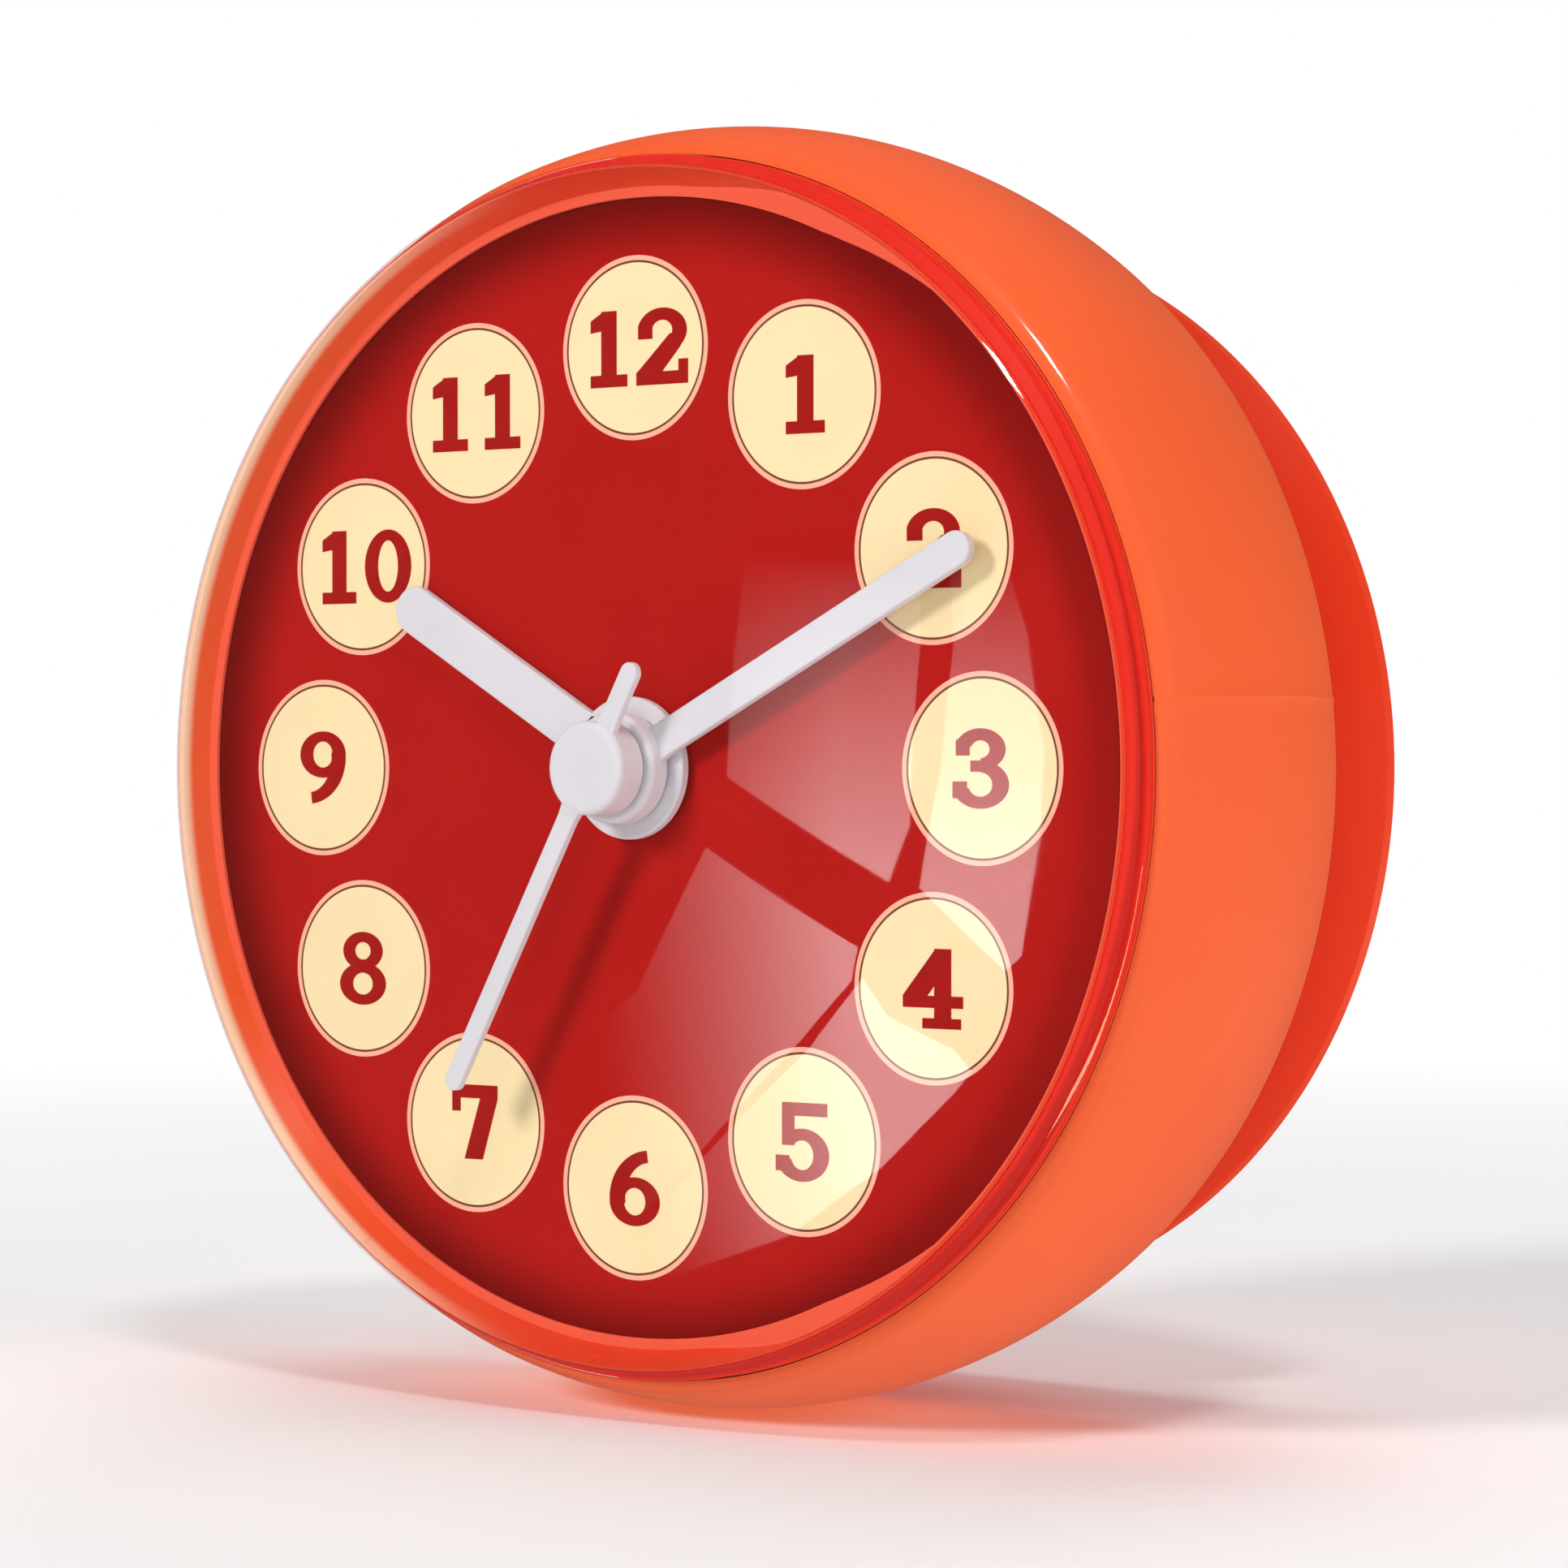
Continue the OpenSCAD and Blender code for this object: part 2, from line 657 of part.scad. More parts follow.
// Filled lens profile: straight wall, round shoulder tangent to wall and dome
module lens_profile(wall_r, dome, shoulder) {
    reach = wall_r - shoulder;
    mid_z = dome_z + sqrt(pow(dome - shoulder, 2) - pow(reach, 2));
    touch_r = reach * dome / (dome - shoulder);
    intersection() {
        union() {
            square([wall_r, mid_z]);
            translate([reach, mid_z]) circle(r = shoulder);
            intersection() {
                translate([0, dome_z]) circle(r = dome, $fn = 4 * arc_fn);
                square([touch_r, 2 * lens_top]);
            }
        }
        half_plane(lens_foot);
    }
}

module lens() {
    color("whitesmoke", 0.35) on_wall() rotate_extrude() difference() {
        lens_profile(module_r, lens_dome_r, lens_shoulder_r);
        lens_profile(lens_in_r, lens_dome_r - lens_t, lens_inner_round);
    }
}

module lens_gasket() {
    color(cup_red) on_wall() difference() {
        rod(2 * (module_r - bond_gap), seat_z, lens_foot);
        rod(2 * (lip_out_r + bond_gap), seat_z - eps, lens_foot + eps);
    }
}

module dial() {
    color(dial_red) on_wall() difference() {
        rod(dial_d, dial_back, dial_front);
        rod(bush_d + 2 * bush_gap, dial_back - eps, dial_front + eps);
    }
}

module module_oring() {
    color("black") on_wall() translate([0, 0, oring_z])
        rotate_extrude() translate([bore_r - oring_gap - oring_d / 2, 0]) circle(d = oring_d);
}

module movement_plate() {
    color(case_black) on_wall() difference() {
        union() {
            translate([0, 0, plate_back]) linear_extrude(plate_t) case_outline(0);
            rod(bush_d, plate_back, dial_front - arbor_end);
            for (p = stator_post_at) at(p) {
                rod(stator_post_d, stator_front, plate_back + eps);
                rod(stator_pin_d, stator_back, plate_back);
            }
            at(board_screw_at) rod(standoff_d, board_front, plate_back + eps);
            at(board_pin_at) {
                rod(standoff_d, board_front, plate_back + eps);
                rod(board_screw_d, board_back, plate_back);
            }
        }
        rod(hour_tube_d + 2 * run_gap, plate_back - eps, dial_front);
        for (p = arbors_at) at(p) rod(arbor_d + 2 * run_gap, plate_back - eps, plate_front + eps);
        for (p = screws_at) at(p) rod(boss_d + 2 * bond_gap, plate_back - eps, plate_front + eps);
        at(board_screw_at)
            rod(board_screw_d + 2 * pilot_gap, board_front - eps, plate_back + plate_t / 2);
    }
}

module movement_cover() {
    color(case_black) on_wall() difference() {
        union() {
            difference() {
                translate([0, 0, cover_rear])
                    linear_extrude(plate_back - cover_rear) case_outline(0);
                translate([0, 0, cover_floor])
                    linear_extrude(plate_back - cover_floor + eps) case_outline(cover_t);
            }
            for (p = screws_at) at(p) rod(pillar_d, cover_rear, pillar_top);
            for (a = cell_post_dirs)
                at(cell_at + polar(cell_d / 2 + cell_gap + cell_post_d / 2, a))
                    rod(cell_post_d, cover_rear, cell_front - cell_post_drop);
        }
        for (p = screws_at) at(p) {
            rod(screw_head_d + 2 * screw_head_gap, cover_rear - eps, screw_rear);
            rod(screw_d + 2 * screw_gap, cover_rear, pillar_top + eps);
        }
        for (p = [[0, 0], minute_at, third_at, inter_at, rotor_at]) at(p)
            rod(arbor_d + 2 * run_gap, cover_rear - eps, cover_floor + eps);
        at(knob_at) rod(stem_d + 2 * run_gap, cover_rear - eps, cover_floor + eps);
        at(cell_at) rod(cell_d + 2 * cell_gap, cover_rear - eps, cover_floor + eps);
    }
}

// Screw whose head rests on z0 from behind and has a cross slot
module screw(head_d, head_h, shank_d, z0, z1) {
    difference() {
        union() {
            rod(head_d, z0 - head_h, z0);
            rod(shank_d, z0 - eps, z1);
        }
        for (a = [0, 90]) rotate([0, 0, a]) translate([0, 0, z0 - head_h])
            cube([head_d * slot_length, head_d * slot_width, head_h], center = true);
    }
}

module movement_screws() {
    color(steel) on_wall() for (p = screws_at) at(p)
        screw(screw_head_d, screw_head_h, screw_d, screw_rear, screw_rear + screw_len);
}

module circuit_board() {
    color("darkgreen") on_wall() difference() {
        translate([board_at[0], board_at[1], board_back]) cube([board_w, board_h, board_t]);
        for (p = [board_screw_at, board_pin_at]) at(p)
            rod(board_screw_d + 2 * bond_gap, board_back - eps, board_front + eps);
    }
}

module board_screw() {
    color(steel) on_wall() at(board_screw_at)
        screw(board_screw_head_d, board_screw_head_h, board_screw_d, board_back, plate_back);
}

module chip() {
    drop_r = (pow(chip_d / 2, 2) + pow(chip_h, 2)) / (2 * chip_h);
    chip_at = board_at + [chip_edge + chip_d / 2, chip_rise + chip_d / 2];
    color(case_black) on_wall() at(chip_at) intersection() {
        translate([0, 0, board_back - chip_h + drop_r]) sphere(r = drop_r);
        rod(2 * chip_d, board_back - chip_d, board_back);
    }
}

module quartz_crystal() {
    color(steel) on_wall()
        translate([board_left + board_w - crystal_edge, board_low + crystal_rise,
                board_back - winding_gap - crystal_d / 2])
            rotate([0, -90, 0]) cylinder(d = crystal_d, h = crystal_len);
}

module battery() {
    color(steel) on_wall() at(cell_at) {
        rod(cell_d, cell_rear, cell_front - cell_cap_h);
        rod(cell_d - 2 * cell_rim, cell_front - cell_cap_h - eps, cell_front);
    }
}

// Strip beside the cell that rises to the circuit board
module contact_positive() {
    x = cell_x - cell_d / 2 - winding_gap - contact_t;
    low_y = cell_y - contact_reach;
    foot_y = board_low + foot_edge;
    rear_z = cover_floor + contact_lift;
    color(brass) on_wall() {
        translate([x, low_y, rear_z])
            cube([contact_t, foot_y + contact_foot - low_y, board_back - rear_z]);
        translate([x, foot_y, board_back - contact_t]) cube([contact_foot, contact_foot, contact_t]);
    }
}

// Leaf in front of the cell that bends up to the circuit board
module contact_negative() {
    x = cell_x - leaf_w / 2;
    z = cell_front + winding_gap;
    end_y = board_low + contact_foot;
    color(brass) on_wall() {
        translate([x, cell_y, z]) cube([leaf_w, end_y - cell_y, contact_t]);
        translate([x, end_y - contact_t, z]) cube([leaf_w, contact_t, board_back - z]);
    }
}

module stator() {
    arm_y = (stator_span - stator_arm_w) / 2;
    left_x = stator_x - stator_w / 2;
    color("dimgray") on_wall() difference() {
        translate([0, 0, stator_back]) linear_extrude(stator_t) {
            translate([left_x, -stator_span / 2]) square([stator_w, stator_span]);
            for (s = [-1, 1])
                translate([left_x, s * arm_y - stator_arm_w / 2])
                    square([coil_x + core_w - left_x, stator_arm_w]);
        }
        at(rotor_at) rod(magnet_d + 2 * air_gap, stator_back - eps, stator_front + eps);
        for (p = stator_post_at) at(p)
            rod(stator_pin_d + 2 * bond_gap, stator_back - eps, stator_front + eps);
    }
}

module coil_core() {
    color("gray") on_wall()
        translate([coil_x - core_w / 2, -core_len / 2, core_front - core_t])
            cube([core_w, core_len, core_t]);
}

module along_coil() {
    translate([coil_x, bobbin_len / 2, core_mid]) rotate([90, 0, 0]) children();
}

module coil_bobbin() {
    color(hand_white) on_wall() difference() {
        along_coil() {
            cylinder(d = bobbin_d, h = bobbin_len);
            cylinder(d = flange_d, h = flange_t);
            translate([0, 0, bobbin_len - flange_t]) cylinder(d = flange_d, h = flange_t);
        }
        translate([coil_x, 0, core_mid])
            cube([core_w + 2 * bond_gap, core_len, core_t + 2 * bond_gap], center = true);
    }
}

module coil_winding() {
    color("chocolate") on_wall() along_coil() difference() {
        rod(winding_d, flange_t + winding_gap, bobbin_len - flange_t - winding_gap);
        rod(bobbin_d + 2 * winding_gap, 0, bobbin_len);
    }
}

module rotor_pinion() {
    color(wheel_white) on_wall() at(rotor_at) {
        arbor();
        gear(rotor_teeth, rotor_mod, 0, wheel_z(rotor_level), wheel_top(rotor_level));
    }
}

module rotor_magnet() {
    mid = (stator_back + stator_front) / 2;
    color("darkslategray") on_wall() at(rotor_at) difference() {
        rod(magnet_d, mid - magnet_h / 2, mid + magnet_h / 2);
        rod(arbor_d + 2 * pilot_gap, mid - magnet_h, mid + magnet_h);
    }
}

module intermediate_wheel() {
    wheel_angle = mesh_angle(rotor_dir + 180, 0, rotor_teeth, inter_teeth);
    color(wheel_white) on_wall() at(inter_at) {
        arbor();
        windowed_wheel(inter_teeth, rotor_mod, wheel_angle, wheel_z(rotor_level));
        gear(inter_pinion_teeth, inter_mod, 0, wheel_top(rotor_level) - eps, wheel_top(seconds_level));
    }
}

module seconds_wheel() {
    wheel_angle = mesh_angle(inter_dir + 180, 0, inter_pinion_teeth, seconds_teeth);
    color(wheel_white) on_wall() {
        windowed_wheel(seconds_teeth, inter_mod, wheel_angle, wheel_z(seconds_level));
        gear(seconds_pinion_teeth, third_mod, 0, wheel_top(seconds_level) - eps, wheel_top(third_level));
        rod(arbor_d, cover_rear + arbor_end, wheel_top(seconds_level));
        rod(seconds_arbor_d, wheel_top(third_level) - eps, seconds_arbor_top);
    }
}

module third_wheel() {
    wheel_angle = mesh_angle(third_dir, 0, seconds_pinion_teeth, third_teeth);
    color(wheel_white) on_wall() at(third_at) {
        arbor();
        windowed_wheel(third_teeth, third_mod, wheel_angle, wheel_z(third_level));
        gear(third_pinion_teeth, center_mod, 0, wheel_top(third_level) - eps, wheel_top(center_level));
    }
}

module center_wheel() {
    wheel_angle = mesh_angle(third_dir + 180, 0, third_pinion_teeth, center_teeth);
    color(wheel_white) on_wall() difference() {
        windowed_wheel(center_teeth, center_mod, wheel_angle, wheel_z(center_level));
        rod(cannon_tail_d + 2 * run_gap, wheel_z(center_level) - eps, wheel_top(center_level) + eps);
    }
}

module cannon_pinion() {
    tail_z = wheel_z(center_level) - (level_pitch - wheel_t) / 4;
    color(wheel_white) on_wall() difference() {
        union() {
            rod(cannon_tail_d, tail_z, wheel_z(motion_level) + eps);
            gear(cannon_teeth, motion_mod, 0, wheel_z(motion_level), wheel_top(motion_level));
            rod(cannon_tube_d, wheel_top(motion_level) - eps, minute_top);
        }
        rod(seconds_arbor_d + 2 * run_gap, tail_z - eps, minute_top + eps);
    }
}

module minute_wheel() {
    wheel_angle = mesh_angle(minute_dir, 0, cannon_teeth, minute_teeth);
    pinion_angle = mesh_angle(minute_dir, 0, hour_teeth, minute_pinion_teeth);
    color(wheel_white) on_wall() at(minute_at) {
        arbor();
        windowed_wheel(minute_teeth, motion_mod, wheel_angle, wheel_z(motion_level));
        gear(minute_pinion_teeth, hour_mod, pinion_angle,
            wheel_top(motion_level) - eps, wheel_top(hour_level));
    }
}

module hour_wheel() {
    color(wheel_white) on_wall() difference() {
        union() {
            gear(hour_teeth, hour_mod, 0, wheel_z(hour_level), wheel_top(hour_level));
            rod(hour_tube_d, wheel_top(hour_level) - eps, hour_top);
        }
        rod(cannon_tube_d + 2 * run_gap, wheel_z(hour_level) - eps, hour_top + eps);
    }
}

module setting_knob() {
    minute_wheel_angle = mesh_angle(minute_dir, 0, cannon_teeth, minute_teeth);
    pinion_angle = mesh_angle(knob_dir, minute_wheel_angle, minute_teeth, knob_teeth);
    knob_front = cover_rear - knob_gap;
    groove_d = 0.8;
    color("silver") on_wall() at(knob_at) {
        difference() {
            rod(knob_d, knob_front - knob_h, knob_front);
            for (i = [0 : knob_grooves - 1])
                at(polar(knob_d / 2, i * 360 / knob_grooves))
                    rod(groove_d, knob_front - knob_h - eps, knob_front + eps);
        }
        rod(stem_d, knob_front - eps, wheel_z(motion_level));
        gear(knob_teeth, motion_mod, pinion_angle, wheel_z(motion_level) - eps, wheel_top(motion_level));
        rod(arbor_d, wheel_z(motion_level), plate_front - arbor_end);
    }
}

// Straight blade with a round tip, pointing to the given clock angle
module hand_blade(length, width, tail, angle, z, thickness) {
    rotate([0, 0, -angle]) translate([0, 0, z]) linear_extrude(thickness) {
        translate([-width / 2, -tail]) square([width, length + tail - width / 2]);
        translate([0, length - width / 2]) circle(d = width);
        if (tail > 0) translate([0, -tail]) circle(d = width);
    }
}

module hour_hand() {
    color(hand_white) on_wall() difference() {
        union() {
            hand_blade(hour_len, hour_w, 0, hour_angle, hour_z, hand_t);
            rod(hour_hub_d, hour_z, hour_top);
        }
        rod(hour_tube_d + 2 * pilot_gap, hour_z - eps, hour_top + eps);
    }
}

module minute_hand() {
    color(hand_white) on_wall() difference() {
        union() {
            hand_blade(minute_len, minute_w, 0, minute_angle, minute_z, hand_t);
            rod(minute_hub_d, minute_z, minute_top);
        }
        rod(cannon_tube_d + 2 * pilot_gap, minute_z - eps, minute_top + eps);
    }
}

module second_hand() {
    color(hand_white) on_wall() difference() {
        union() {
            hand_blade(second_len, second_w, second_tail, second_angle, second_front - second_t, second_t);
            rod(second_hub_d, second_z, second_top);
        }
        rod(seconds_arbor_d + 2 * pilot_gap, second_z - eps, seconds_arbor_top + pilot_gap);
    }
}

rear_shell();
suction_cup();
module_housing();
bezel();
lens();
lens_gasket();
dial();
module_oring();
movement_plate();
movement_cover();
movement_screws();
circuit_board();
board_screw();
chip();
quartz_crystal();
battery();
contact_positive();
contact_negative();
stator();
coil_core();
coil_bobbin();
coil_winding();
rotor_pinion();
rotor_magnet();
intermediate_wheel();
seconds_wheel();
third_wheel();
center_wheel();
cannon_pinion();
minute_wheel();
hour_wheel();
setting_knob();
hour_hand();
minute_hand();
second_hand();
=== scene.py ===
"""Looks of a round shower clock on a suction cup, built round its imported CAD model.

Shapes are drawn in millimetres as (radius, out) outlines or as (across, up) outlines seen from the front.
"Out" is the distance from the wall, so a drawn point (x, up, out) is the part's point (x, -out, up).
"""

import math

import bmesh
import bpy
from mathutils import Matrix, Vector
from mathutils.geometry import intersect_line_plane, intersect_line_sphere


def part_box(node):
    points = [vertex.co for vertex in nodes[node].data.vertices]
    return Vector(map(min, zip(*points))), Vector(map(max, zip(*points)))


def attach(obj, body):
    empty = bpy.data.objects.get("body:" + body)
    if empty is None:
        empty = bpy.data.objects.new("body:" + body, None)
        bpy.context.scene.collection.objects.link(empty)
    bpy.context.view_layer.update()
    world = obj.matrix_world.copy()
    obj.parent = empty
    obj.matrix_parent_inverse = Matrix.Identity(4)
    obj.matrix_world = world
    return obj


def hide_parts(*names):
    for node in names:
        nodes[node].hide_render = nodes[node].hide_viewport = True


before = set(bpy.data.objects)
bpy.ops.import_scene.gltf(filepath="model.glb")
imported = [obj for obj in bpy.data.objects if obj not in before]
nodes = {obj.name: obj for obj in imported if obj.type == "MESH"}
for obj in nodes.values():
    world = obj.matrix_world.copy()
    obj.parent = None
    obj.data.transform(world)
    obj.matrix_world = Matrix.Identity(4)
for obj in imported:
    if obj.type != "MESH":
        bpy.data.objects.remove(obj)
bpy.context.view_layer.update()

MM = 0.001
ROUND_STEPS = 224  # columns round a turned piece
ARC_STEPS = 8  # stretches along a small rounded edge
LONG_ARC_STEPS = 40  # stretches along the lens's dome, the cup's curves or a figure's bowl
SMOOTH_ANGLE = math.radians(32)  # edges sharper than this stay crisp
MERGE_WITHIN = 1e-5  # points closer than this, in millimetres, are one point

# Shell and cup, millimetres
BARREL_R = 40.0
BARREL_ARC = 26.4
RIM_R = 38.0
RIM_ROUND = 1.6
REAR_ROUND = 1.0
SHELL_REAR = 13.3
SHELL_FLOOR = 15.3
SHELL_FRONT = 31.4
LEDGE_OUT = 17.9
LEDGE_R = 36.2
BORE_R = 37.5
MOUTH_R = 37.41  # a little narrower than the bore, so that the gap round the lens looks thin
MOUTH_DEPTH = 1.0
BARREL_STEPS = 48
RIM_STEPS = 20
NECK_HOLE_R = 6.1
SEAM_ANGLE = 84.0  # degrees clockwise from twelve
SEAM_HEIGHT = 0.1
SEAM_WIDTH = 0.5
CUP_R = 35.1
CUP_LIP = 1.0
CUP_LAND_R = 33.4
CUP_APEX = 12.3
CUP_HOLLOW = 9.5
CUP_BOSS_R = 9.0
CUP_NECK_R = 6.0
CUP_HEAD_R = 8.0
CUP_HEAD_H = 1.6
CUP_HEAD_EDGE = 0.1
CUP_EDGE = 0.12

# Bezel, lens and dial, millimetres
MODULE_R = 37.35
SHOULDER_OUT = 29.4
LIP_OUT_R = 36.4
LIP_EDGE_R = 36.15
LIP_TOP = 33.0
OPENING_R = 34.7
STEP_W = 0.6
STEP_H = 0.25
BEZEL_BORE_R = 35.95
DIAL_POCKET_R = 35.7
DIAL_R = 35.6
DIAL_HOLE_R = 3.5
DIAL_BACK = 30.4
DIAL_FRONT = 31.2
LENS_FOOT = 31.8
BOND_GAP = 0.05
GASKET_BITE = 0.1  # the soft gasket closes round the lens's foot
LENS_T = 0.9
LENS_SHOULDER = 2.6
LENS_INNER_SHOULDER = 0.4
LENS_DOME = 148.0
LENS_TOP = 38.797
BEZEL_ROUND = 0.1
LIP_ROUND = 0.05
DIAL_ROUND = 0.06
FACE_SLACK = 0.03  # how far a face's middle may lie from the surface that it belongs to

# Painted shade at the dial's edge, darkest at the upper left, standing for the lip's shadow: place of its
# middle, where it starts and ends, and the share of colour left
SHADE_MIDDLE = (0.92, -DIAL_FRONT, -0.38)
SHADE_START = 30.3
SHADE_END = 35.7
SHADE_DEPTH = 0.35

# Where the painted light and shade on the cup and the bezel, and the shell's polish, start and are full,
# millimetres out from the wall or across
POLISH_START = SHELL_FRONT - 0.9
POLISH_FULL = SHELL_FRONT - 0.5
CUP_PAINTED_LIGHT_START = 7.5
CUP_PAINTED_LIGHT_FULL = 0.5
LIP_HIGHLIGHT_START = LIP_TOP - 0.6
LIP_HIGHLIGHT_FULL = LIP_TOP - 0.1
BEZEL_LIT_START = -6
BEZEL_LIT_FULL = -28

# Printed hour discs, millimetres
DISC_RING_R = 25.6
DISC_R = 5.63
DISC_LINE_OUT_R = 5.33
DISC_LINE_IN_R = 5.19
DISC_T = 0.02
INK_T = 0.02
NUMERAL_H = 4.65
DISC_STEPS = 96
INK_SLACK = 0.01  # how far a face may reach past the edge of its ink

# Hands: clock angles in degrees; radii, distances from the wall, and the blades' starts, lengths, widths and
# flares in millimetres
HAND_EDGE = 0.16  # rounding of the blades' front edges
FLARE_REACH = 5  # length of a blade's flare in widths of the flare
HOUR_ANGLE = 300
HOUR_HOLE_R = 2.53
HOUR_HUB_R = 4.35
HOUR_HUB_ROUND = 0.2
HOUR_BACK = 31.5
HOUR_FRONT = 32.1
HOUR_START = 3.2
HOUR_LENGTH = 21.3
HOUR_WIDTH = 3.0
HOUR_FLARE = 0.3
MINUTE_ANGLE = 63
MINUTE_HOLE_R = 1.78
MINUTE_HUB_R = 3.4
MINUTE_HUB_ROUND = 0.4
MINUTE_HUB_FRONT = 33.75
MINUTE_BACK = 32.35
MINUTE_FRONT = 32.95
MINUTE_START = 2.4
MINUTE_LENGTH = 28.9
MINUTE_WIDTH = 2.1
MINUTE_FLARE = 0.3
SECOND_ANGLE = 209
SECOND_HOLE_R = 0.63
SECOND_HOLE_TOP = 35.63
SECOND_HUB_R = 2.85
SECOND_HUB_ROUND = 0.5
SECOND_HUB_BACK = 34.0
SECOND_HUB_FRONT = 36.2
SECOND_BACK = 35.35
SECOND_FRONT = 35.85
SECOND_START = 1.6
SECOND_LENGTH = 22.6
SECOND_TAIL = 7.15
SECOND_WIDTH = 1.3
SECOND_FLARE = 0.45

# Coil of fine wire, millimetres
WIRE_PITCH = 0.24
WIRE_STEPS = 4
WINDING_IN_R = 1.65
WINDING_STEPS = 48

# Noise and grain of surfaces, and the lens
NOISE_LOW = 0.2  # noise below this counts as lowest
NOISE_HIGH = 0.8  # noise above this counts as highest
GLOSS_SPREAD = 0.05  # roughness above and below a surface's own
GRAIN_DETAIL = 2.0
GRAIN_STRENGTH = 0.4
SMUDGE_SIZE = 14.0  # faint smudges on the lens, millimetres
SMUDGE_ROUGHNESS = 0.035
SLANT_START = 0.6  # how far the lens is turned away where it starts to be plain
SLANT_END = 0.75
SLANT_PLAIN = 0.75  # how plain it is from there on


def srgb(red, green, blue):
    """Linear colour of an 8-bit screen colour."""
    return tuple(((c / 255 + 0.055) / 1.055) ** 2.4 for c in (red, green, blue)) + (1.0,)


# Mesh building


def closed_mesh(points, faces):
    """Mesh in millimetres with merged doubles and outward normals."""
    shape = bmesh.new()
    corners = [shape.verts.new(p) for p in points]
    for face in faces:
        shape.faces.new([corners[i] for i in face])
    bmesh.ops.remove_doubles(shape, verts=shape.verts, dist=MERGE_WITHIN)
    loose = [e for e in shape.edges if not e.link_faces]
    bmesh.ops.delete(shape, geom=loose, context="EDGES")
    bmesh.ops.recalc_face_normals(shape, faces=shape.faces)
    mesh = bpy.data.meshes.new("drawn")
    shape.to_mesh(mesh)
    shape.free()
    return mesh


def arc(centre, radius, start, end, steps=ARC_STEPS):
    """Points of an arc in an outline, with angles in radians."""
    turns = [start + (end - start) * i / steps for i in range(steps + 1)]
    return [(centre[0] + radius * math.cos(t), centre[1] + radius * math.sin(t)) for t in turns]


def rounded(corners):
    """Outline from (x, y, rounding) corners."""
    outline = []
    for i, (x, y, rounding) in enumerate(corners):
        here = Vector((x, y))
        if not rounding:
            outline.append((x, y))
            continue
        before = (Vector(corners[i - 1][:2]) - here).normalized()
        after = (Vector(corners[(i + 1) % len(corners)][:2]) - here).normalized()
        half = before.angle(after) / 2
        centre = here + (before + after).normalized() * rounding / math.sin(half)
        start = here + before * rounding / math.tan(half) - centre
        sweep = start.angle_signed(here + after * rounding / math.tan(half) - centre)
        for k in range(ARC_STEPS + 1):
            turn = Matrix.Rotation(-sweep * k / ARC_STEPS, 2)
            outline.append(tuple(centre + turn @ start))
    return outline


def lathe(outline, ridges=(), steps=ROUND_STEPS):
    """Closed (radius, out) outline turned about the clock's axis, with narrow ridges at some clock angles."""
    columns = [(360 * i / steps, 0) for i in range(steps)]
    for angle, height, width in ridges:
        reach = math.degrees(width / BARREL_R)
        columns = [c for c in columns if abs(c[0] - angle) > reach]
        columns += [(angle - reach / 2, 0), (angle, height), (angle + reach / 2, 0)]
    columns.sort()
    points, faces = [], []
    for angle, height in columns:
        turn = math.radians(angle)
        for radius, out in outline:
            r = radius + height
            points.append((r * math.sin(turn), -out, r * math.cos(turn)))
    size = len(outline)
    for i in range(len(columns)):
        a, b = i * size, (i + 1) % len(columns) * size
        for j in range(size):
            k = (j + 1) % size
            faces.append((a + j, a + k, b + k, b + j))
    return closed_mesh(points, faces)


def inset(outline, distance):
    """Smooth closed outline moved inwards; the outline runs anticlockwise."""
    moved = []
    for i, (x, y) in enumerate(outline):
        before, after = outline[i - 1], outline[(i + 1) % len(outline)]
        onward = Vector((after[0] - before[0], after[1] - before[1])).normalized()
        moved.append((x - onward.y * distance, y + onward.x * distance))
    return moved


def slab(outline, back, front, edge=0.0):
    """Front-view (across, up) outline made solid between two levels, with a rounded front edge."""
    rings = [(outline, back)]
    if edge:
        for k in range(ARC_STEPS + 1):
            turn = math.pi / 2 * k / ARC_STEPS
            level = front - edge + edge * math.sin(turn)
            rings.append((inset(outline, edge * (1 - math.cos(turn))), level))
    else:
        rings.append((outline, front))
    points = [(x, -level, up) for ring, level in rings for x, up in ring]
    size = len(outline)
    faces = [tuple(range(size)), tuple(range(size * (len(rings) - 1), size * len(rings)))]
    for row in range(len(rings) - 1):
        a, b = row * size, (row + 1) * size
        for j in range(size):
            k = (j + 1) % size
            faces.append((a + j, a + k, b + k, b + j))
    return closed_mesh(points, faces)


def joined(meshes):
    """One closed mesh from overlapping closed meshes."""
    objects = [bpy.data.objects.new("tool", m) for m in meshes]
    for o in objects:
        bpy.context.scene.collection.objects.link(o)
    base = objects[0]
    for other in objects[1:]:
        union = base.modifiers.new("union", "BOOLEAN")
        union.operation = "UNION"
        union.solver = "EXACT"
        union.object = other
    view = bpy.context.evaluated_depsgraph_get()
    mesh = bpy.data.meshes.new_from_object(base.evaluated_get(view))
    for o in objects:
        bpy.data.objects.remove(o)
    return mesh


def gathered(meshes):
    """One mesh from separate meshes; their faces keep their material numbers."""
    shape = bmesh.new()
    for mesh in meshes:
        shape.from_mesh(mesh)
    result = bpy.data.meshes.new("drawn")
    shape.to_mesh(result)
    shape.free()
    return result


def piece(name, mesh, materials, body, replaced=()):
    """Finished piece in metres that rides on a CAD body."""
    mesh.transform(Matrix.Scale(MM, 4))
    mesh.name = name
    for material in materials:
        mesh.materials.append(material)
    mesh.shade_smooth()
    mesh.set_sharp_from_angle(angle=SMOOTH_ANGLE)
    made = bpy.data.objects.new(name, mesh)
    bpy.context.scene.collection.objects.link(made)
    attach(made, body)
    if replaced:
        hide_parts(*replaced)
    return made


# Materials


def new_material(name):
    """New material with its node tree and its main shader."""
    material = bpy.data.materials.new(name)
    material.use_nodes = True
    tree = material.node_tree
    return material, tree, tree.nodes["Principled BSDF"]


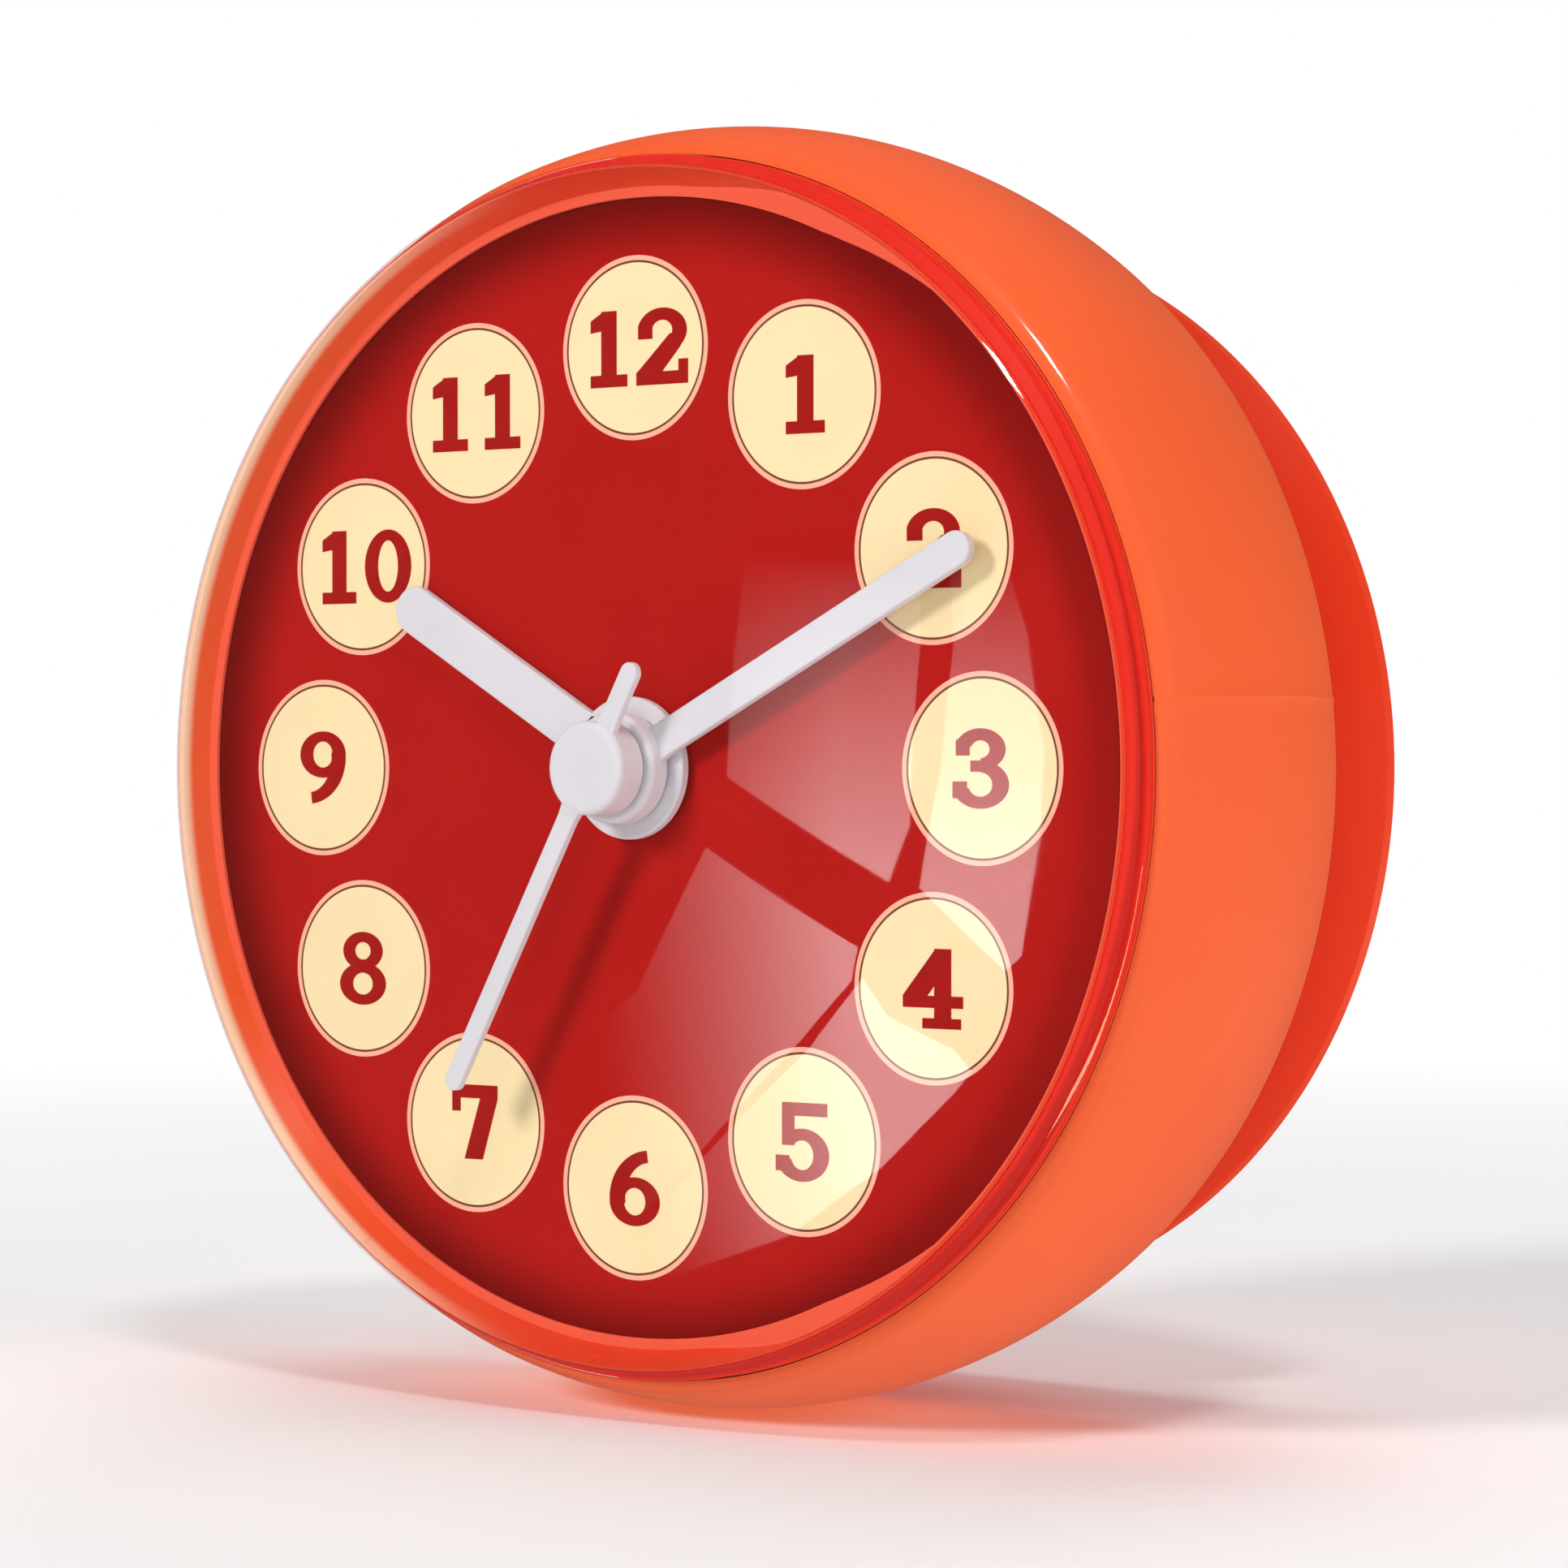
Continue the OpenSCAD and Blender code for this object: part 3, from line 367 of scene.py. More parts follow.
def add(tree, kind, inputs=(), **settings):
    """New node with its settings, and with input sockets set or linked."""
    made = tree.nodes.new(kind)
    for key, value in settings.items():
        setattr(made, key, value)
    for key, value in dict(inputs).items():
        if isinstance(value, bpy.types.NodeSocket):
            tree.links.new(value, made.inputs[key])
        else:
            made.inputs[key].default_value = value
    return made


def noise(tree, size, detail=3.0, stretch=None):
    """Noise with features of about that size in millimetres, fixed to the piece."""
    place = add(tree, "ShaderNodeTexCoord").outputs["Object"]
    if stretch:
        place = add(tree, "ShaderNodeMapping", {"Vector": place, "Scale": stretch}).outputs["Vector"]
    made = add(tree, "ShaderNodeTexNoise", {"Vector": place, "Scale": 1 / (size * MM), "Detail": detail})
    return made.outputs["Fac"]


def mapped(tree, value, start, end, first=0.0, last=1.0, curve="LINEAR"):
    """Value spread so that start gives the first number and end gives the last."""
    made = add(tree, "ShaderNodeMapRange", {
        "Value": value, "From Min": start, "From Max": end, "To Min": first, "To Max": last,
    }, interpolation_type=curve)
    return made.outputs["Result"]


def ranged(tree, value, low, high):
    """Noise value spread between two numbers."""
    return mapped(tree, value, NOISE_LOW, NOISE_HIGH, low, high)


def combined(tree, operation, first, second):
    """One value worked out from two, such as their product for MULTIPLY."""
    return add(tree, "ShaderNodeMath", {0: first, 1: second}, operation=operation).outputs[0]


def mixed_colours(tree, factor, first, second, mode="MIX"):
    """Colour between two colours; 6, 7 and 2 are the mix node's sockets for colours."""
    sockets = {"Factor": factor, 6: first, 7: second}
    return add(tree, "ShaderNodeMix", sockets, data_type="RGBA", blend_type=mode).outputs[2]


def mixed_shaders(tree, factor, first, second):
    """Shader node between two shader nodes."""
    return add(tree, "ShaderNodeMixShader", {0: factor, 1: first.outputs[0], 2: second.outputs[0]})


def show(tree, shader):
    """Make a shader node the one that a material shows."""
    tree.links.new(shader.outputs[0], tree.nodes["Material Output"].inputs["Surface"])


def surface(name, dark, light, roughness, cloud=9.0, grain=0.35, depth=0.01, stretch=None, **sockets):
    """Surface with soft colour clouds, uneven gloss and a fine grain, sizes in millimetres."""
    material, tree, shader = new_material(name)
    clouds = ranged(tree, noise(tree, cloud, stretch=stretch), 0, 1)
    tree.links.new(mixed_colours(tree, clouds, dark, light), shader.inputs["Base Color"])
    patches = noise(tree, cloud / 3, stretch=stretch)
    gloss = ranged(tree, patches, roughness - GLOSS_SPREAD, roughness + GLOSS_SPREAD)
    tree.links.new(gloss, shader.inputs["Roughness"])
    grains = noise(tree, grain, GRAIN_DETAIL, stretch)
    bump = add(tree, "ShaderNodeBump", {"Height": grains, "Strength": GRAIN_STRENGTH, "Distance": depth * MM})
    tree.links.new(bump.outputs["Normal"], shader.inputs["Normal"])
    for key, value in sockets.items():
        shader.inputs[key.replace("_", " ")].default_value = value
    return material


def blended(material, factor, colour, mode="MIX"):
    """Second colour laid over a surface's own colour where the factor says."""
    tree = material.node_tree
    base = tree.nodes["Principled BSDF"].inputs["Base Color"]
    plain = base.links[0].from_socket
    tree.links.new(mixed_colours(tree, factor, plain, colour, mode), base)


def shade_dial(material):
    """Painted shade: the dial's red darkens towards the plate's edge, most at the upper left."""
    tree = material.node_tree
    place = add(tree, "ShaderNodeTexCoord").outputs["Object"]
    away = add(tree, "ShaderNodeVectorMath", {0: place, 1: Vector(SHADE_MIDDLE) * MM}, operation="DISTANCE")
    shade = mapped(tree, away.outputs["Value"], SHADE_START * MM, SHADE_END * MM, curve="SMOOTHSTEP")
    blended(material, shade, (SHADE_DEPTH, SHADE_DEPTH, SHADE_DEPTH, 1), "MULTIPLY")


def along(material, axis, start, end):
    """Factor that rises from 0 to 1 between two places on one of the part's axes, in millimetres."""
    tree = material.node_tree
    place = add(tree, "ShaderNodeSeparateXYZ", {0: add(tree, "ShaderNodeTexCoord").outputs["Object"]})
    return mapped(tree, place.outputs[axis], start * MM, end * MM, curve="SMOOTHSTEP")


def polished(material, factor, roughness):
    """Polished skin over a surface where the factor says."""
    shader = material.node_tree.nodes["Principled BSDF"]
    shader.inputs["Coat Roughness"].default_value = roughness
    material.node_tree.links.new(factor, shader.inputs["Coat Weight"])


def light_bezel(material):
    """Painted light on the bezel: a lit orange on its left side, and a painted highlight along the front edge
    of its lip there.
    """
    lit_orange = srgb(245, 88, 32)
    pale = srgb(253, 206, 170)
    left = along(material, "X", BEZEL_LIT_START, BEZEL_LIT_FULL)
    blended(material, left, lit_orange)
    edge = along(material, "Y", -LIP_HIGHLIGHT_START, -LIP_HIGHLIGHT_FULL)
    blended(material, combined(material.node_tree, "MULTIPLY", left, edge), pale)


def clear_lens():
    """Clear acrylic that lets lamp and room light through to the dial, and is plain seen edge on."""
    material, tree, shader = new_material("clear_acrylic")
    shader.inputs["Base Color"].default_value = (0.99, 0.985, 0.985, 1)
    shader.inputs["Transmission Weight"].default_value = 1.0
    shader.inputs["IOR"].default_value = 1.49
    smudge = ranged(tree, noise(tree, SMUDGE_SIZE), 0.0, SMUDGE_ROUGHNESS)
    tree.links.new(smudge, shader.inputs["Roughness"])
    open_way = add(tree, "ShaderNodeBsdfTransparent")
    path = add(tree, "ShaderNodeLightPath")
    light = combined(tree, "MAXIMUM", path.outputs["Is Shadow Ray"], path.outputs["Is Diffuse Ray"])
    turned_away = add(tree, "ShaderNodeLayerWeight", {"Blend": 0.5}).outputs["Facing"]
    slant = mapped(tree, turned_away, SLANT_START, SLANT_END, 0, SLANT_PLAIN)
    show(tree, mixed_shaders(tree, combined(tree, "MAXIMUM", light, slant), shader, open_way))
    return material


shell_plastic = surface(
    "shell_plastic", srgb(236, 91, 44), srgb(240, 97, 48), 0.48, cloud=16, grain=0.25, depth=0.006,
    Specular_IOR_Level=0.2
)
polished(shell_plastic, along(shell_plastic, "Y", -POLISH_START, -POLISH_FULL), roughness=0.1)
# Bezel red with painted light on its left side: a lit orange, and a painted highlight along the lip's front
# edge
bezel_plastic = surface(
    "bezel_plastic", srgb(229, 62, 34), srgb(234, 69, 38), 0.3, cloud=12, Specular_IOR_Level=0.35
)
light_bezel(bezel_plastic)
# Painted shade: the lip's outer side, seen through the lens's wall, is a deep red
lip_side_shade = surface("lip_side_shade", srgb(240, 18, 6), srgb(244, 24, 9), 0.5, cloud=12, Specular_IOR_Level=0.1)
# Painted highlight: the step at the dial is a paler red
lip_step_highlight = surface("lip_step_highlight", srgb(242, 92, 64), srgb(246, 100, 72), 0.4, cloud=12, Specular_IOR_Level=0.2)
cup_rubber = surface(
    "cup_rubber", srgb(204, 28, 14), srgb(210, 33, 17), 0.36, cloud=18, grain=0.6, depth=0.008,
    Subsurface_Weight=0.2, Subsurface_Scale=0.002, Specular_IOR_Level=0.15
)
# Painted shade and light on the cup: darker red near the shell, lighter towards its lip
cup_painted_light_colour = srgb(236, 66, 32)
blended(cup_rubber, along(cup_rubber, "Y", -CUP_PAINTED_LIGHT_START, -CUP_PAINTED_LIGHT_FULL), cup_painted_light_colour)
lens_clear = clear_lens()
gasket_rubber = surface(
    "gasket_rubber", srgb(220, 38, 22), srgb(226, 44, 26), 0.55, grain=0.2, Specular_IOR_Level=0.2
)
seal_rubber = surface("seal_rubber", srgb(22, 22, 23), srgb(34, 34, 36), 0.5, grain=0.2, depth=0.015)
PRINT_GLOSS = 0.65
PRINT = {"grain": 0.12, "depth": 0.004, "Specular_IOR_Level": 0.05}
dial_print = surface("dial_print", srgb(175, 23, 18), srgb(182, 27, 22), PRINT_GLOSS, cloud=7, **PRINT)
# Painted shade: the dial's edge is darkened in its colour
shade_dial(dial_print)
disc_rim = surface("disc_rim", srgb(248, 178, 150), srgb(251, 186, 158), PRINT_GLOSS, cloud=4, **PRINT)
disc_line = surface("disc_line", srgb(120, 60, 40), srgb(132, 70, 48), PRINT_GLOSS, cloud=3, **PRINT)
disc_face = surface("disc_face", srgb(247, 223, 172), srgb(250, 228, 180), PRINT_GLOSS, cloud=5, **PRINT)
numeral_ink = surface("numeral_ink", srgb(160, 22, 20), srgb(170, 27, 24), PRINT_GLOSS, cloud=3, **PRINT)
hand_plastic = surface(
    "hand_plastic", srgb(217, 214, 219), srgb(224, 221, 226), 0.45, cloud=5, grain=0.2, depth=0.005,
    Specular_IOR_Level=0.25
)
case_plastic = surface(
    "case_plastic", srgb(26, 26, 28), srgb(36, 36, 38), 0.48, cloud=6, grain=0.3, depth=0.02
)
chip_epoxy = surface("chip_epoxy", srgb(14, 14, 15), srgb(24, 24, 25), 0.3, cloud=2, grain=0.4, depth=0.02)
wheel_plastic = surface("wheel_plastic", srgb(232, 228, 214), srgb(240, 237, 226), 0.4, cloud=3, grain=0.15)
knob_plastic = surface("knob_plastic", srgb(176, 176, 178), srgb(190, 190, 192), 0.45, cloud=3, grain=0.2)
board_mask = surface("board_mask", srgb(16, 92, 50), srgb(22, 108, 60), 0.3, cloud=2, grain=0.3, depth=0.02)
steel = surface("steel", srgb(188, 190, 194), srgb(206, 208, 212), 0.28, cloud=1.5, grain=0.2, Metallic=1.0)
contact_brass = surface(
    "contact_brass", srgb(206, 172, 92), srgb(220, 188, 110), 0.3, cloud=2, grain=0.2, stretch=(1, 1, 6),
    Metallic=1.0
)
copper_wire = surface(
    "copper_wire", srgb(178, 92, 46), srgb(198, 110, 60), 0.32, cloud=1, grain=0.15, Metallic=1.0
)
iron = surface("iron", srgb(104, 105, 108), srgb(122, 123, 126), 0.42, cloud=2, grain=0.2, Metallic=1.0)
cell_can = surface(
    "cell_can", srgb(204, 204, 202), srgb(218, 218, 216), 0.24, cloud=2, grain=0.15, Metallic=1.0
)

# Materials of the CAD nodes, also of those that a piece below stands for
carried = {
    shell_plastic: ["rear_shell", "module_housing"],
    gasket_rubber: ["lens_gasket"],
    seal_rubber: ["module_oring"],
    case_plastic: ["movement_plate", "movement_cover"],
    chip_epoxy: ["chip"],
    wheel_plastic: [
        "coil_bobbin", "rotor_pinion", "intermediate_wheel", "seconds_wheel", "third_wheel",
        "center_wheel", "cannon_pinion", "minute_wheel", "hour_wheel",
    ],
    knob_plastic: ["setting_knob"],
    board_mask: ["circuit_board"],
    steel: ["movement_screws", "board_screw", "quartz_crystal"],
    contact_brass: ["contact_positive", "contact_negative"],
    copper_wire: ["coil_winding"],
    iron: ["stator", "coil_core", "rotor_magnet"],
    cell_can: ["battery"],
    cup_rubber: ["suction_cup"],
    bezel_plastic: ["bezel"],
    lens_clear: ["lens"],
    dial_print: ["dial"],
    hand_plastic: ["hour_hand", "minute_hand", "second_hand"],
}
for material, names in carried.items():
    for name in names:
        nodes[name].material_slots[0].material = material


# Shell and suction cup


def shell_outline():
    """Barrel with rounded edges, open at the front, and a rear wall with the hole for the cup's neck."""
    arc_r = BARREL_R - BARREL_ARC
    arc_out = SHELL_FRONT - math.sqrt(BARREL_ARC**2 - (RIM_R - arc_r) ** 2)
    front_out = SHELL_FRONT - RIM_ROUND
    front_r = arc_r + math.sqrt((BARREL_ARC - RIM_ROUND) ** 2 - (front_out - arc_out) ** 2)
    rear_out = SHELL_REAR + REAR_ROUND
    rear_r = arc_r + math.sqrt((BARREL_ARC - REAR_ROUND) ** 2 - (arc_out - rear_out) ** 2)
    low = math.atan2(rear_out - arc_out, rear_r - arc_r)
    high = math.atan2(front_out - arc_out, front_r - arc_r)
    outline = [(NECK_HOLE_R, SHELL_REAR)]
    outline += arc((rear_r, rear_out), REAR_ROUND, -math.pi / 2, low)
    outline += arc((arc_r, arc_out), BARREL_ARC, low, high, BARREL_STEPS)[1:-1]
    mouth = math.acos((MOUTH_R - front_r) / RIM_ROUND)
    outline += arc((front_r, front_out), RIM_ROUND, high, mouth, RIM_STEPS)
    outline += [(MOUTH_R, SHELL_FRONT - MOUTH_DEPTH), (BORE_R, SHELL_FRONT - MOUTH_DEPTH)]
    outline += [(BORE_R, LEDGE_OUT), (LEDGE_R, LEDGE_OUT), (LEDGE_R, SHELL_FLOOR), (NECK_HOLE_R, SHELL_FLOOR)]
    return outline


def sphere_out(apex, radius, r):
    """How far out a sphere about the clock's axis is at a distance from that axis."""
    return apex - radius + math.sqrt(radius**2 - r**2)


def sphere_radius(drop, reach):
    """Radius of a sphere that falls by drop over that reach."""
    return (reach**2 + drop**2) / (2 * drop)


def cup_outline():
    """Shallow soft cup with a flat lip, and a neck and head that hold it in the shell's rear wall."""
    outer = sphere_radius(CUP_APEX - CUP_LIP, CUP_R)
    inner = sphere_radius(CUP_HOLLOW, CUP_LAND_R)
    outline = []
    for i in range(LONG_ARC_STEPS + 1):
        r = CUP_BOSS_R + (CUP_R - CUP_BOSS_R) * i / LONG_ARC_STEPS
        outline.append((r, sphere_out(CUP_APEX, outer, r)))
    outline += [(CUP_R, CUP_EDGE), (CUP_R - CUP_EDGE, 0)]
    for i in range(LONG_ARC_STEPS + 1):
        r = CUP_LAND_R * (1 - i / LONG_ARC_STEPS)
        outline.append((r, sphere_out(CUP_HOLLOW, inner, r)))
    head_top = SHELL_FLOOR + CUP_HEAD_H
    outline += [(0, head_top), (CUP_NECK_R, head_top), (CUP_HEAD_R, SHELL_FLOOR + CUP_HEAD_EDGE)]
    outline += [(CUP_HEAD_R, SHELL_FLOOR), (CUP_NECK_R, SHELL_FLOOR)]
    outline += [(CUP_NECK_R, SHELL_REAR), (CUP_BOSS_R, SHELL_REAR)]
    return outline


piece(
    "shell_barrel", lathe(shell_outline(), [(SEAM_ANGLE, SEAM_HEIGHT, SEAM_WIDTH)]),
    [shell_plastic], "shell", ["rear_shell"],
)
piece("cup_moulding", lathe(cup_outline()), [cup_rubber], "shell", ["suction_cup"])


# Bezel, lens and dial plate


def lens_side(wall_r, dome, shoulder):
    """Wall, shoulder and dome of one lens surface, from the foot to the axis."""
    dome_out = LENS_TOP - LENS_DOME
    reach = wall_r - shoulder
    mid = dome_out + math.sqrt((dome - shoulder) ** 2 - reach**2)
    lean = math.asin(reach / (dome - shoulder))
    side = [(wall_r, LENS_FOOT)]
    side += arc((reach, mid), shoulder, 0, math.pi / 2 - lean, 2 * ARC_STEPS)
    side += arc((0, dome_out), dome, math.pi / 2 - lean, math.pi / 2, LONG_ARC_STEPS)[1:]
    return side


bezel_outline = rounded([
    (BEZEL_BORE_R, SHOULDER_OUT, 0), (MODULE_R, SHOULDER_OUT, BEZEL_ROUND),
    (MODULE_R, SHELL_FRONT, BEZEL_ROUND), (LIP_OUT_R, SHELL_FRONT, 0),
    (LIP_OUT_R, LIP_TOP, LIP_ROUND), (LIP_EDGE_R, LIP_TOP, BEZEL_ROUND),
    (OPENING_R + STEP_W, DIAL_FRONT + STEP_H, BEZEL_ROUND), (OPENING_R, DIAL_FRONT + STEP_H, BEZEL_ROUND),
    (OPENING_R, DIAL_FRONT, 0), (DIAL_POCKET_R, DIAL_FRONT, 0), (DIAL_POCKET_R, DIAL_BACK, 0),
    (BEZEL_BORE_R, DIAL_BACK, 0),
])
lens_outline = lens_side(MODULE_R, LENS_DOME, LENS_SHOULDER)
lens_outline += reversed(lens_side(MODULE_R - LENS_T, LENS_DOME - LENS_T, LENS_INNER_SHOULDER))
dial_outline = rounded([
    (DIAL_HOLE_R, DIAL_BACK, 0), (DIAL_R, DIAL_BACK, 0),
    (DIAL_R, DIAL_FRONT, DIAL_ROUND), (DIAL_HOLE_R, DIAL_FRONT, DIAL_ROUND),
])
gasket_top = LENS_FOOT + GASKET_BITE
gasket_outline = [
    (LIP_OUT_R + BOND_GAP, SHELL_FRONT), (MODULE_R - BOND_GAP, SHELL_FRONT),
    (MODULE_R - BOND_GAP, gasket_top), (LIP_OUT_R + BOND_GAP, gasket_top),
]


def bezel_mesh():
    """Bezel with a paler step at the dial, a painted highlight, and a deep red outer side that shows through
    the lens's wall, painted shade.
    """
    mesh = lathe(bezel_outline)
    for face in mesh.polygons:
        radius = math.hypot(face.center.x, face.center.z)
        out = -face.center.y
        if radius > LIP_OUT_R - FACE_SLACK and out > SHELL_FRONT + FACE_SLACK:
            face.material_index = 1
        elif radius < OPENING_R + STEP_W and out > DIAL_FRONT:
            face.material_index = 2
    return mesh


piece("bezel_ring", bezel_mesh(), [bezel_plastic, lip_side_shade, lip_step_highlight], "module", ["bezel"])
piece("lens_dome", lathe(lens_outline), [lens_clear], "module", ["lens"])
piece("gasket_ring", lathe(gasket_outline), [gasket_rubber], "module", ["lens_gasket"])
piece("dial_plate", lathe(dial_outline), [dial_print], "module", ["dial"])


# Printed discs and numerals


def printed_disc(x, up):
    """Cream disc with a thin dark line near its edge: one flat print with three inks."""
    top = DIAL_FRONT + DISC_T
    rings = [(radius, top) for radius in (0, DISC_LINE_IN_R, DISC_LINE_OUT_R, DISC_R)]
    rings += [(DISC_R, DIAL_FRONT), (0, DIAL_FRONT)]
    points, faces = [], []
    for radius, level in rings:
        circle = arc((0, 0), radius, 0, 2 * math.pi, DISC_STEPS)[:-1]
        points += [(x + px, -level, up + py) for px, py in circle]
    for row in range(len(rings) - 1):
        a, b = row * DISC_STEPS, (row + 1) * DISC_STEPS
        for j in range(DISC_STEPS):
            k = (j + 1) % DISC_STEPS
            faces.append((a + j, a + k, b + k, b + j))
    mesh = closed_mesh(points, faces)
    edges = [DISC_LINE_IN_R, DISC_LINE_OUT_R]
    for face in mesh.polygons:
        corners = [mesh.vertices[v].co for v in face.vertices]
        reach = max(math.hypot(corner.x - x, corner.z - up) for corner in corners)
        face.material_index = sum(reach >= edge + INK_SLACK for edge in edges)
    return mesh


def bowl(x, y, wide, high, side, cap, start, end):
    """Curved stroke between two ellipses, thicker at its sides than at top and bottom; angles in degrees."""
    turns = [math.radians(start + (end - start) * i / LONG_ARC_STEPS) for i in range(LONG_ARC_STEPS + 1)]
    outer = [(x + wide * math.cos(t), y + high * math.sin(t)) for t in turns]
    inner = [(x + (wide - side) * math.cos(t), y + (high - cap) * math.sin(t)) for t in turns]
    return outer + inner[::-1]


def bar(left, low, right, high):
    """Upright or level stroke."""
    return [(left, low), (right, low), (right, high), (left, high)]


def oval(x, y, wide, high, side, cap):
    """Closed stroke as two bowls, each a degree more than half of it."""
    return [bowl(x, y, wide, high, side, cap, start, start + 181) for start in (0, 180)]


# Heavy slab-serif figures as overlapping strokes, one unit high, centred on x = 0
SIX = oval(0, 0.32, 0.42, 0.32, 0.24, 0.14) + [bowl(0.26, 0.36, 0.68, 0.64, 0.26, 0.16, 95, 188)]
FIGURES = {
    "0": oval(0, 0.5, 0.42, 0.5, 0.24, 0.15),
    "1": [
        bar(-0.1, 0, 0.16, 1), bar(-0.28, 0, 0.34, 0.16),
        [(-0.28, 0.72), (-0.04, 0.75), (0.02, 1.0), (-0.06, 1.0), (-0.28, 0.88)],
    ],
    "2": [
        bowl(0, 0.7, 0.41, 0.3, 0.24, 0.16, -40, 165), bar(-0.4, 0.6, -0.16, 0.78),
        [(0.38, 0.64), (0.13, 0.66), (-0.43, 0.16), (-0.43, 0.02), (-0.1, 0.06), (0.3, 0.48)],
        bar(-0.43, 0, 0.43, 0.17), bar(0.27, 0, 0.43, 0.32),
    ],
    "3": [
        bowl(-0.02, 0.74, 0.38, 0.26, 0.24, 0.15, -88, 165), bar(-0.39, 0.66, -0.18, 0.86),
        bowl(-0.02, 0.3, 0.43, 0.3, 0.25, 0.15, -165, 88), bar(-0.44, 0.13, -0.22, 0.34),
        bar(-0.17, 0.46, 0.06, 0.6),
    ],
    "4": [
        bar(0.02, 0, 0.28, 1), bar(-0.46, 0.26, 0.46, 0.41), bar(-0.16, 0, 0.43, 0.13),
        [(0.04, 1.0), (0.2, 1.0), (0.2, 0.74), (-0.18, 0.3), (-0.46, 0.28), (-0.46, 0.41)],
    ],
    "5": [
        bar(-0.34, 0.83, 0.38, 1), bar(-0.34, 0.45, -0.14, 0.9),
        bowl(-0.02, 0.33, 0.43, 0.34, 0.25, 0.15, -165, 138), bar(-0.44, 0.12, -0.22, 0.32),
    ],
    "6": SIX,
    "7": [
        bar(-0.4, 0.82, 0.4, 1), bar(-0.4, 0.64, -0.25, 1),
        [(0.4, 0.92), (0.4, 0.82), (0.14, 0.0), (-0.18, 0.0), (0.1, 0.84)],
    ],
    "8": oval(0, 0.74, 0.36, 0.26, 0.22, 0.14) + oval(0, 0.29, 0.42, 0.29, 0.24, 0.14),
    "9": [[(-x, 1 - y) for x, y in stroke] for stroke in SIX],
}
FIGURE_STEP = 0.92  # between the figures of 10, 11 and 12, in figure heights


def numeral(number, x, up):
    """Printed numeral centred on a disc."""
    text = str(number)
    strokes = []
    for i, figure in enumerate(text):
        shift = (i - (len(text) - 1) / 2) * FIGURE_STEP
        strokes += [[(px + shift, py) for px, py in stroke] for stroke in FIGURES[figure]]
    mesh = joined([slab(stroke, 0, 1) for stroke in strokes])
    low = DIAL_FRONT + DISC_T
    mesh.transform(Matrix.LocRotScale(
        Vector((x, -low, up - NUMERAL_H / 2)), None, Vector((NUMERAL_H, INK_T, NUMERAL_H))
    ))
    return mesh


places = []
for hour in range(1, 13):
    turn = math.radians(30 * hour)
    places.append((hour, DISC_RING_R * math.sin(turn), DISC_RING_R * math.cos(turn)))
discs = gathered([printed_disc(x, up) for hour, x, up in places])
numerals = gathered([numeral(*place) for place in places])
piece("hour_discs", discs, [disc_face, disc_line, disc_rim], "module")
piece("hour_numerals", numerals, [numeral_ink], "module")


# Hands


def blade(angle, start, length, width, flare):
    """Straight round-tipped blade, widened a little where it leaves its hub; clock angle in degrees."""
    half = width / 2
    shares = [k / ARC_STEPS for k in range(ARC_STEPS + 1)]
    right = [(half + flare * (1 - share) ** 2, start + FLARE_REACH * flare * share) for share in shares]
    tip = arc((0, length - half), half, 0, math.pi, 2 * ARC_STEPS)
    left = [(-across, onward) for across, onward in reversed(right)]
    cos, sin = math.cos(math.radians(angle)), math.sin(math.radians(angle))
    outline = right + tip + left
    return [(onward * sin + across * cos, onward * cos - across * sin) for across, onward in outline]


def hub(hole_r, hub_r, rounding, back, front):
    """Outline of a hub that a tube goes through."""
    return rounded([(hole_r, back, 0), (hub_r, back, 0), (hub_r, front, rounding), (hole_r, front, 0)])


hour_hub = hub(HOUR_HOLE_R, HOUR_HUB_R, HOUR_HUB_ROUND, HOUR_BACK, HOUR_FRONT)
hour_blade = blade(HOUR_ANGLE, HOUR_START, HOUR_LENGTH, HOUR_WIDTH, HOUR_FLARE)
hour_hand = joined([lathe(hour_hub), slab(hour_blade, HOUR_BACK, HOUR_FRONT, HAND_EDGE)])

minute_hub = hub(MINUTE_HOLE_R, MINUTE_HUB_R, MINUTE_HUB_ROUND, MINUTE_BACK, MINUTE_HUB_FRONT)
minute_blade = blade(MINUTE_ANGLE, MINUTE_START, MINUTE_LENGTH, MINUTE_WIDTH, MINUTE_FLARE)
minute_hand = joined([lathe(minute_hub), slab(minute_blade, MINUTE_BACK, MINUTE_FRONT, HAND_EDGE)])

second_hub = rounded([
    (SECOND_HOLE_R, SECOND_HUB_BACK, 0), (SECOND_HUB_R, SECOND_HUB_BACK, 0),
    (SECOND_HUB_R, SECOND_HUB_FRONT, SECOND_HUB_ROUND), (0, SECOND_HUB_FRONT, 0),
    (0, SECOND_HOLE_TOP, 0), (SECOND_HOLE_R, SECOND_HOLE_TOP, 0),
])
second_blade = blade(SECOND_ANGLE, SECOND_START, SECOND_LENGTH, SECOND_WIDTH, SECOND_FLARE)
second_tail = blade(SECOND_ANGLE - 180, SECOND_START, SECOND_TAIL, SECOND_WIDTH, SECOND_FLARE)
second_hand = joined([
    lathe(second_hub),
    slab(second_blade, SECOND_BACK, SECOND_FRONT, HAND_EDGE),
    slab(second_tail, SECOND_BACK, SECOND_FRONT, HAND_EDGE),
])

piece("hour_pointer", hour_hand, [hand_plastic], "hour", ["hour_hand"])
piece("minute_pointer", minute_hand, [hand_plastic], "minute", ["minute_hand"])
piece("second_pointer", second_hand, [hand_plastic], "seconds", ["second_hand"])


# Coil of fine wire


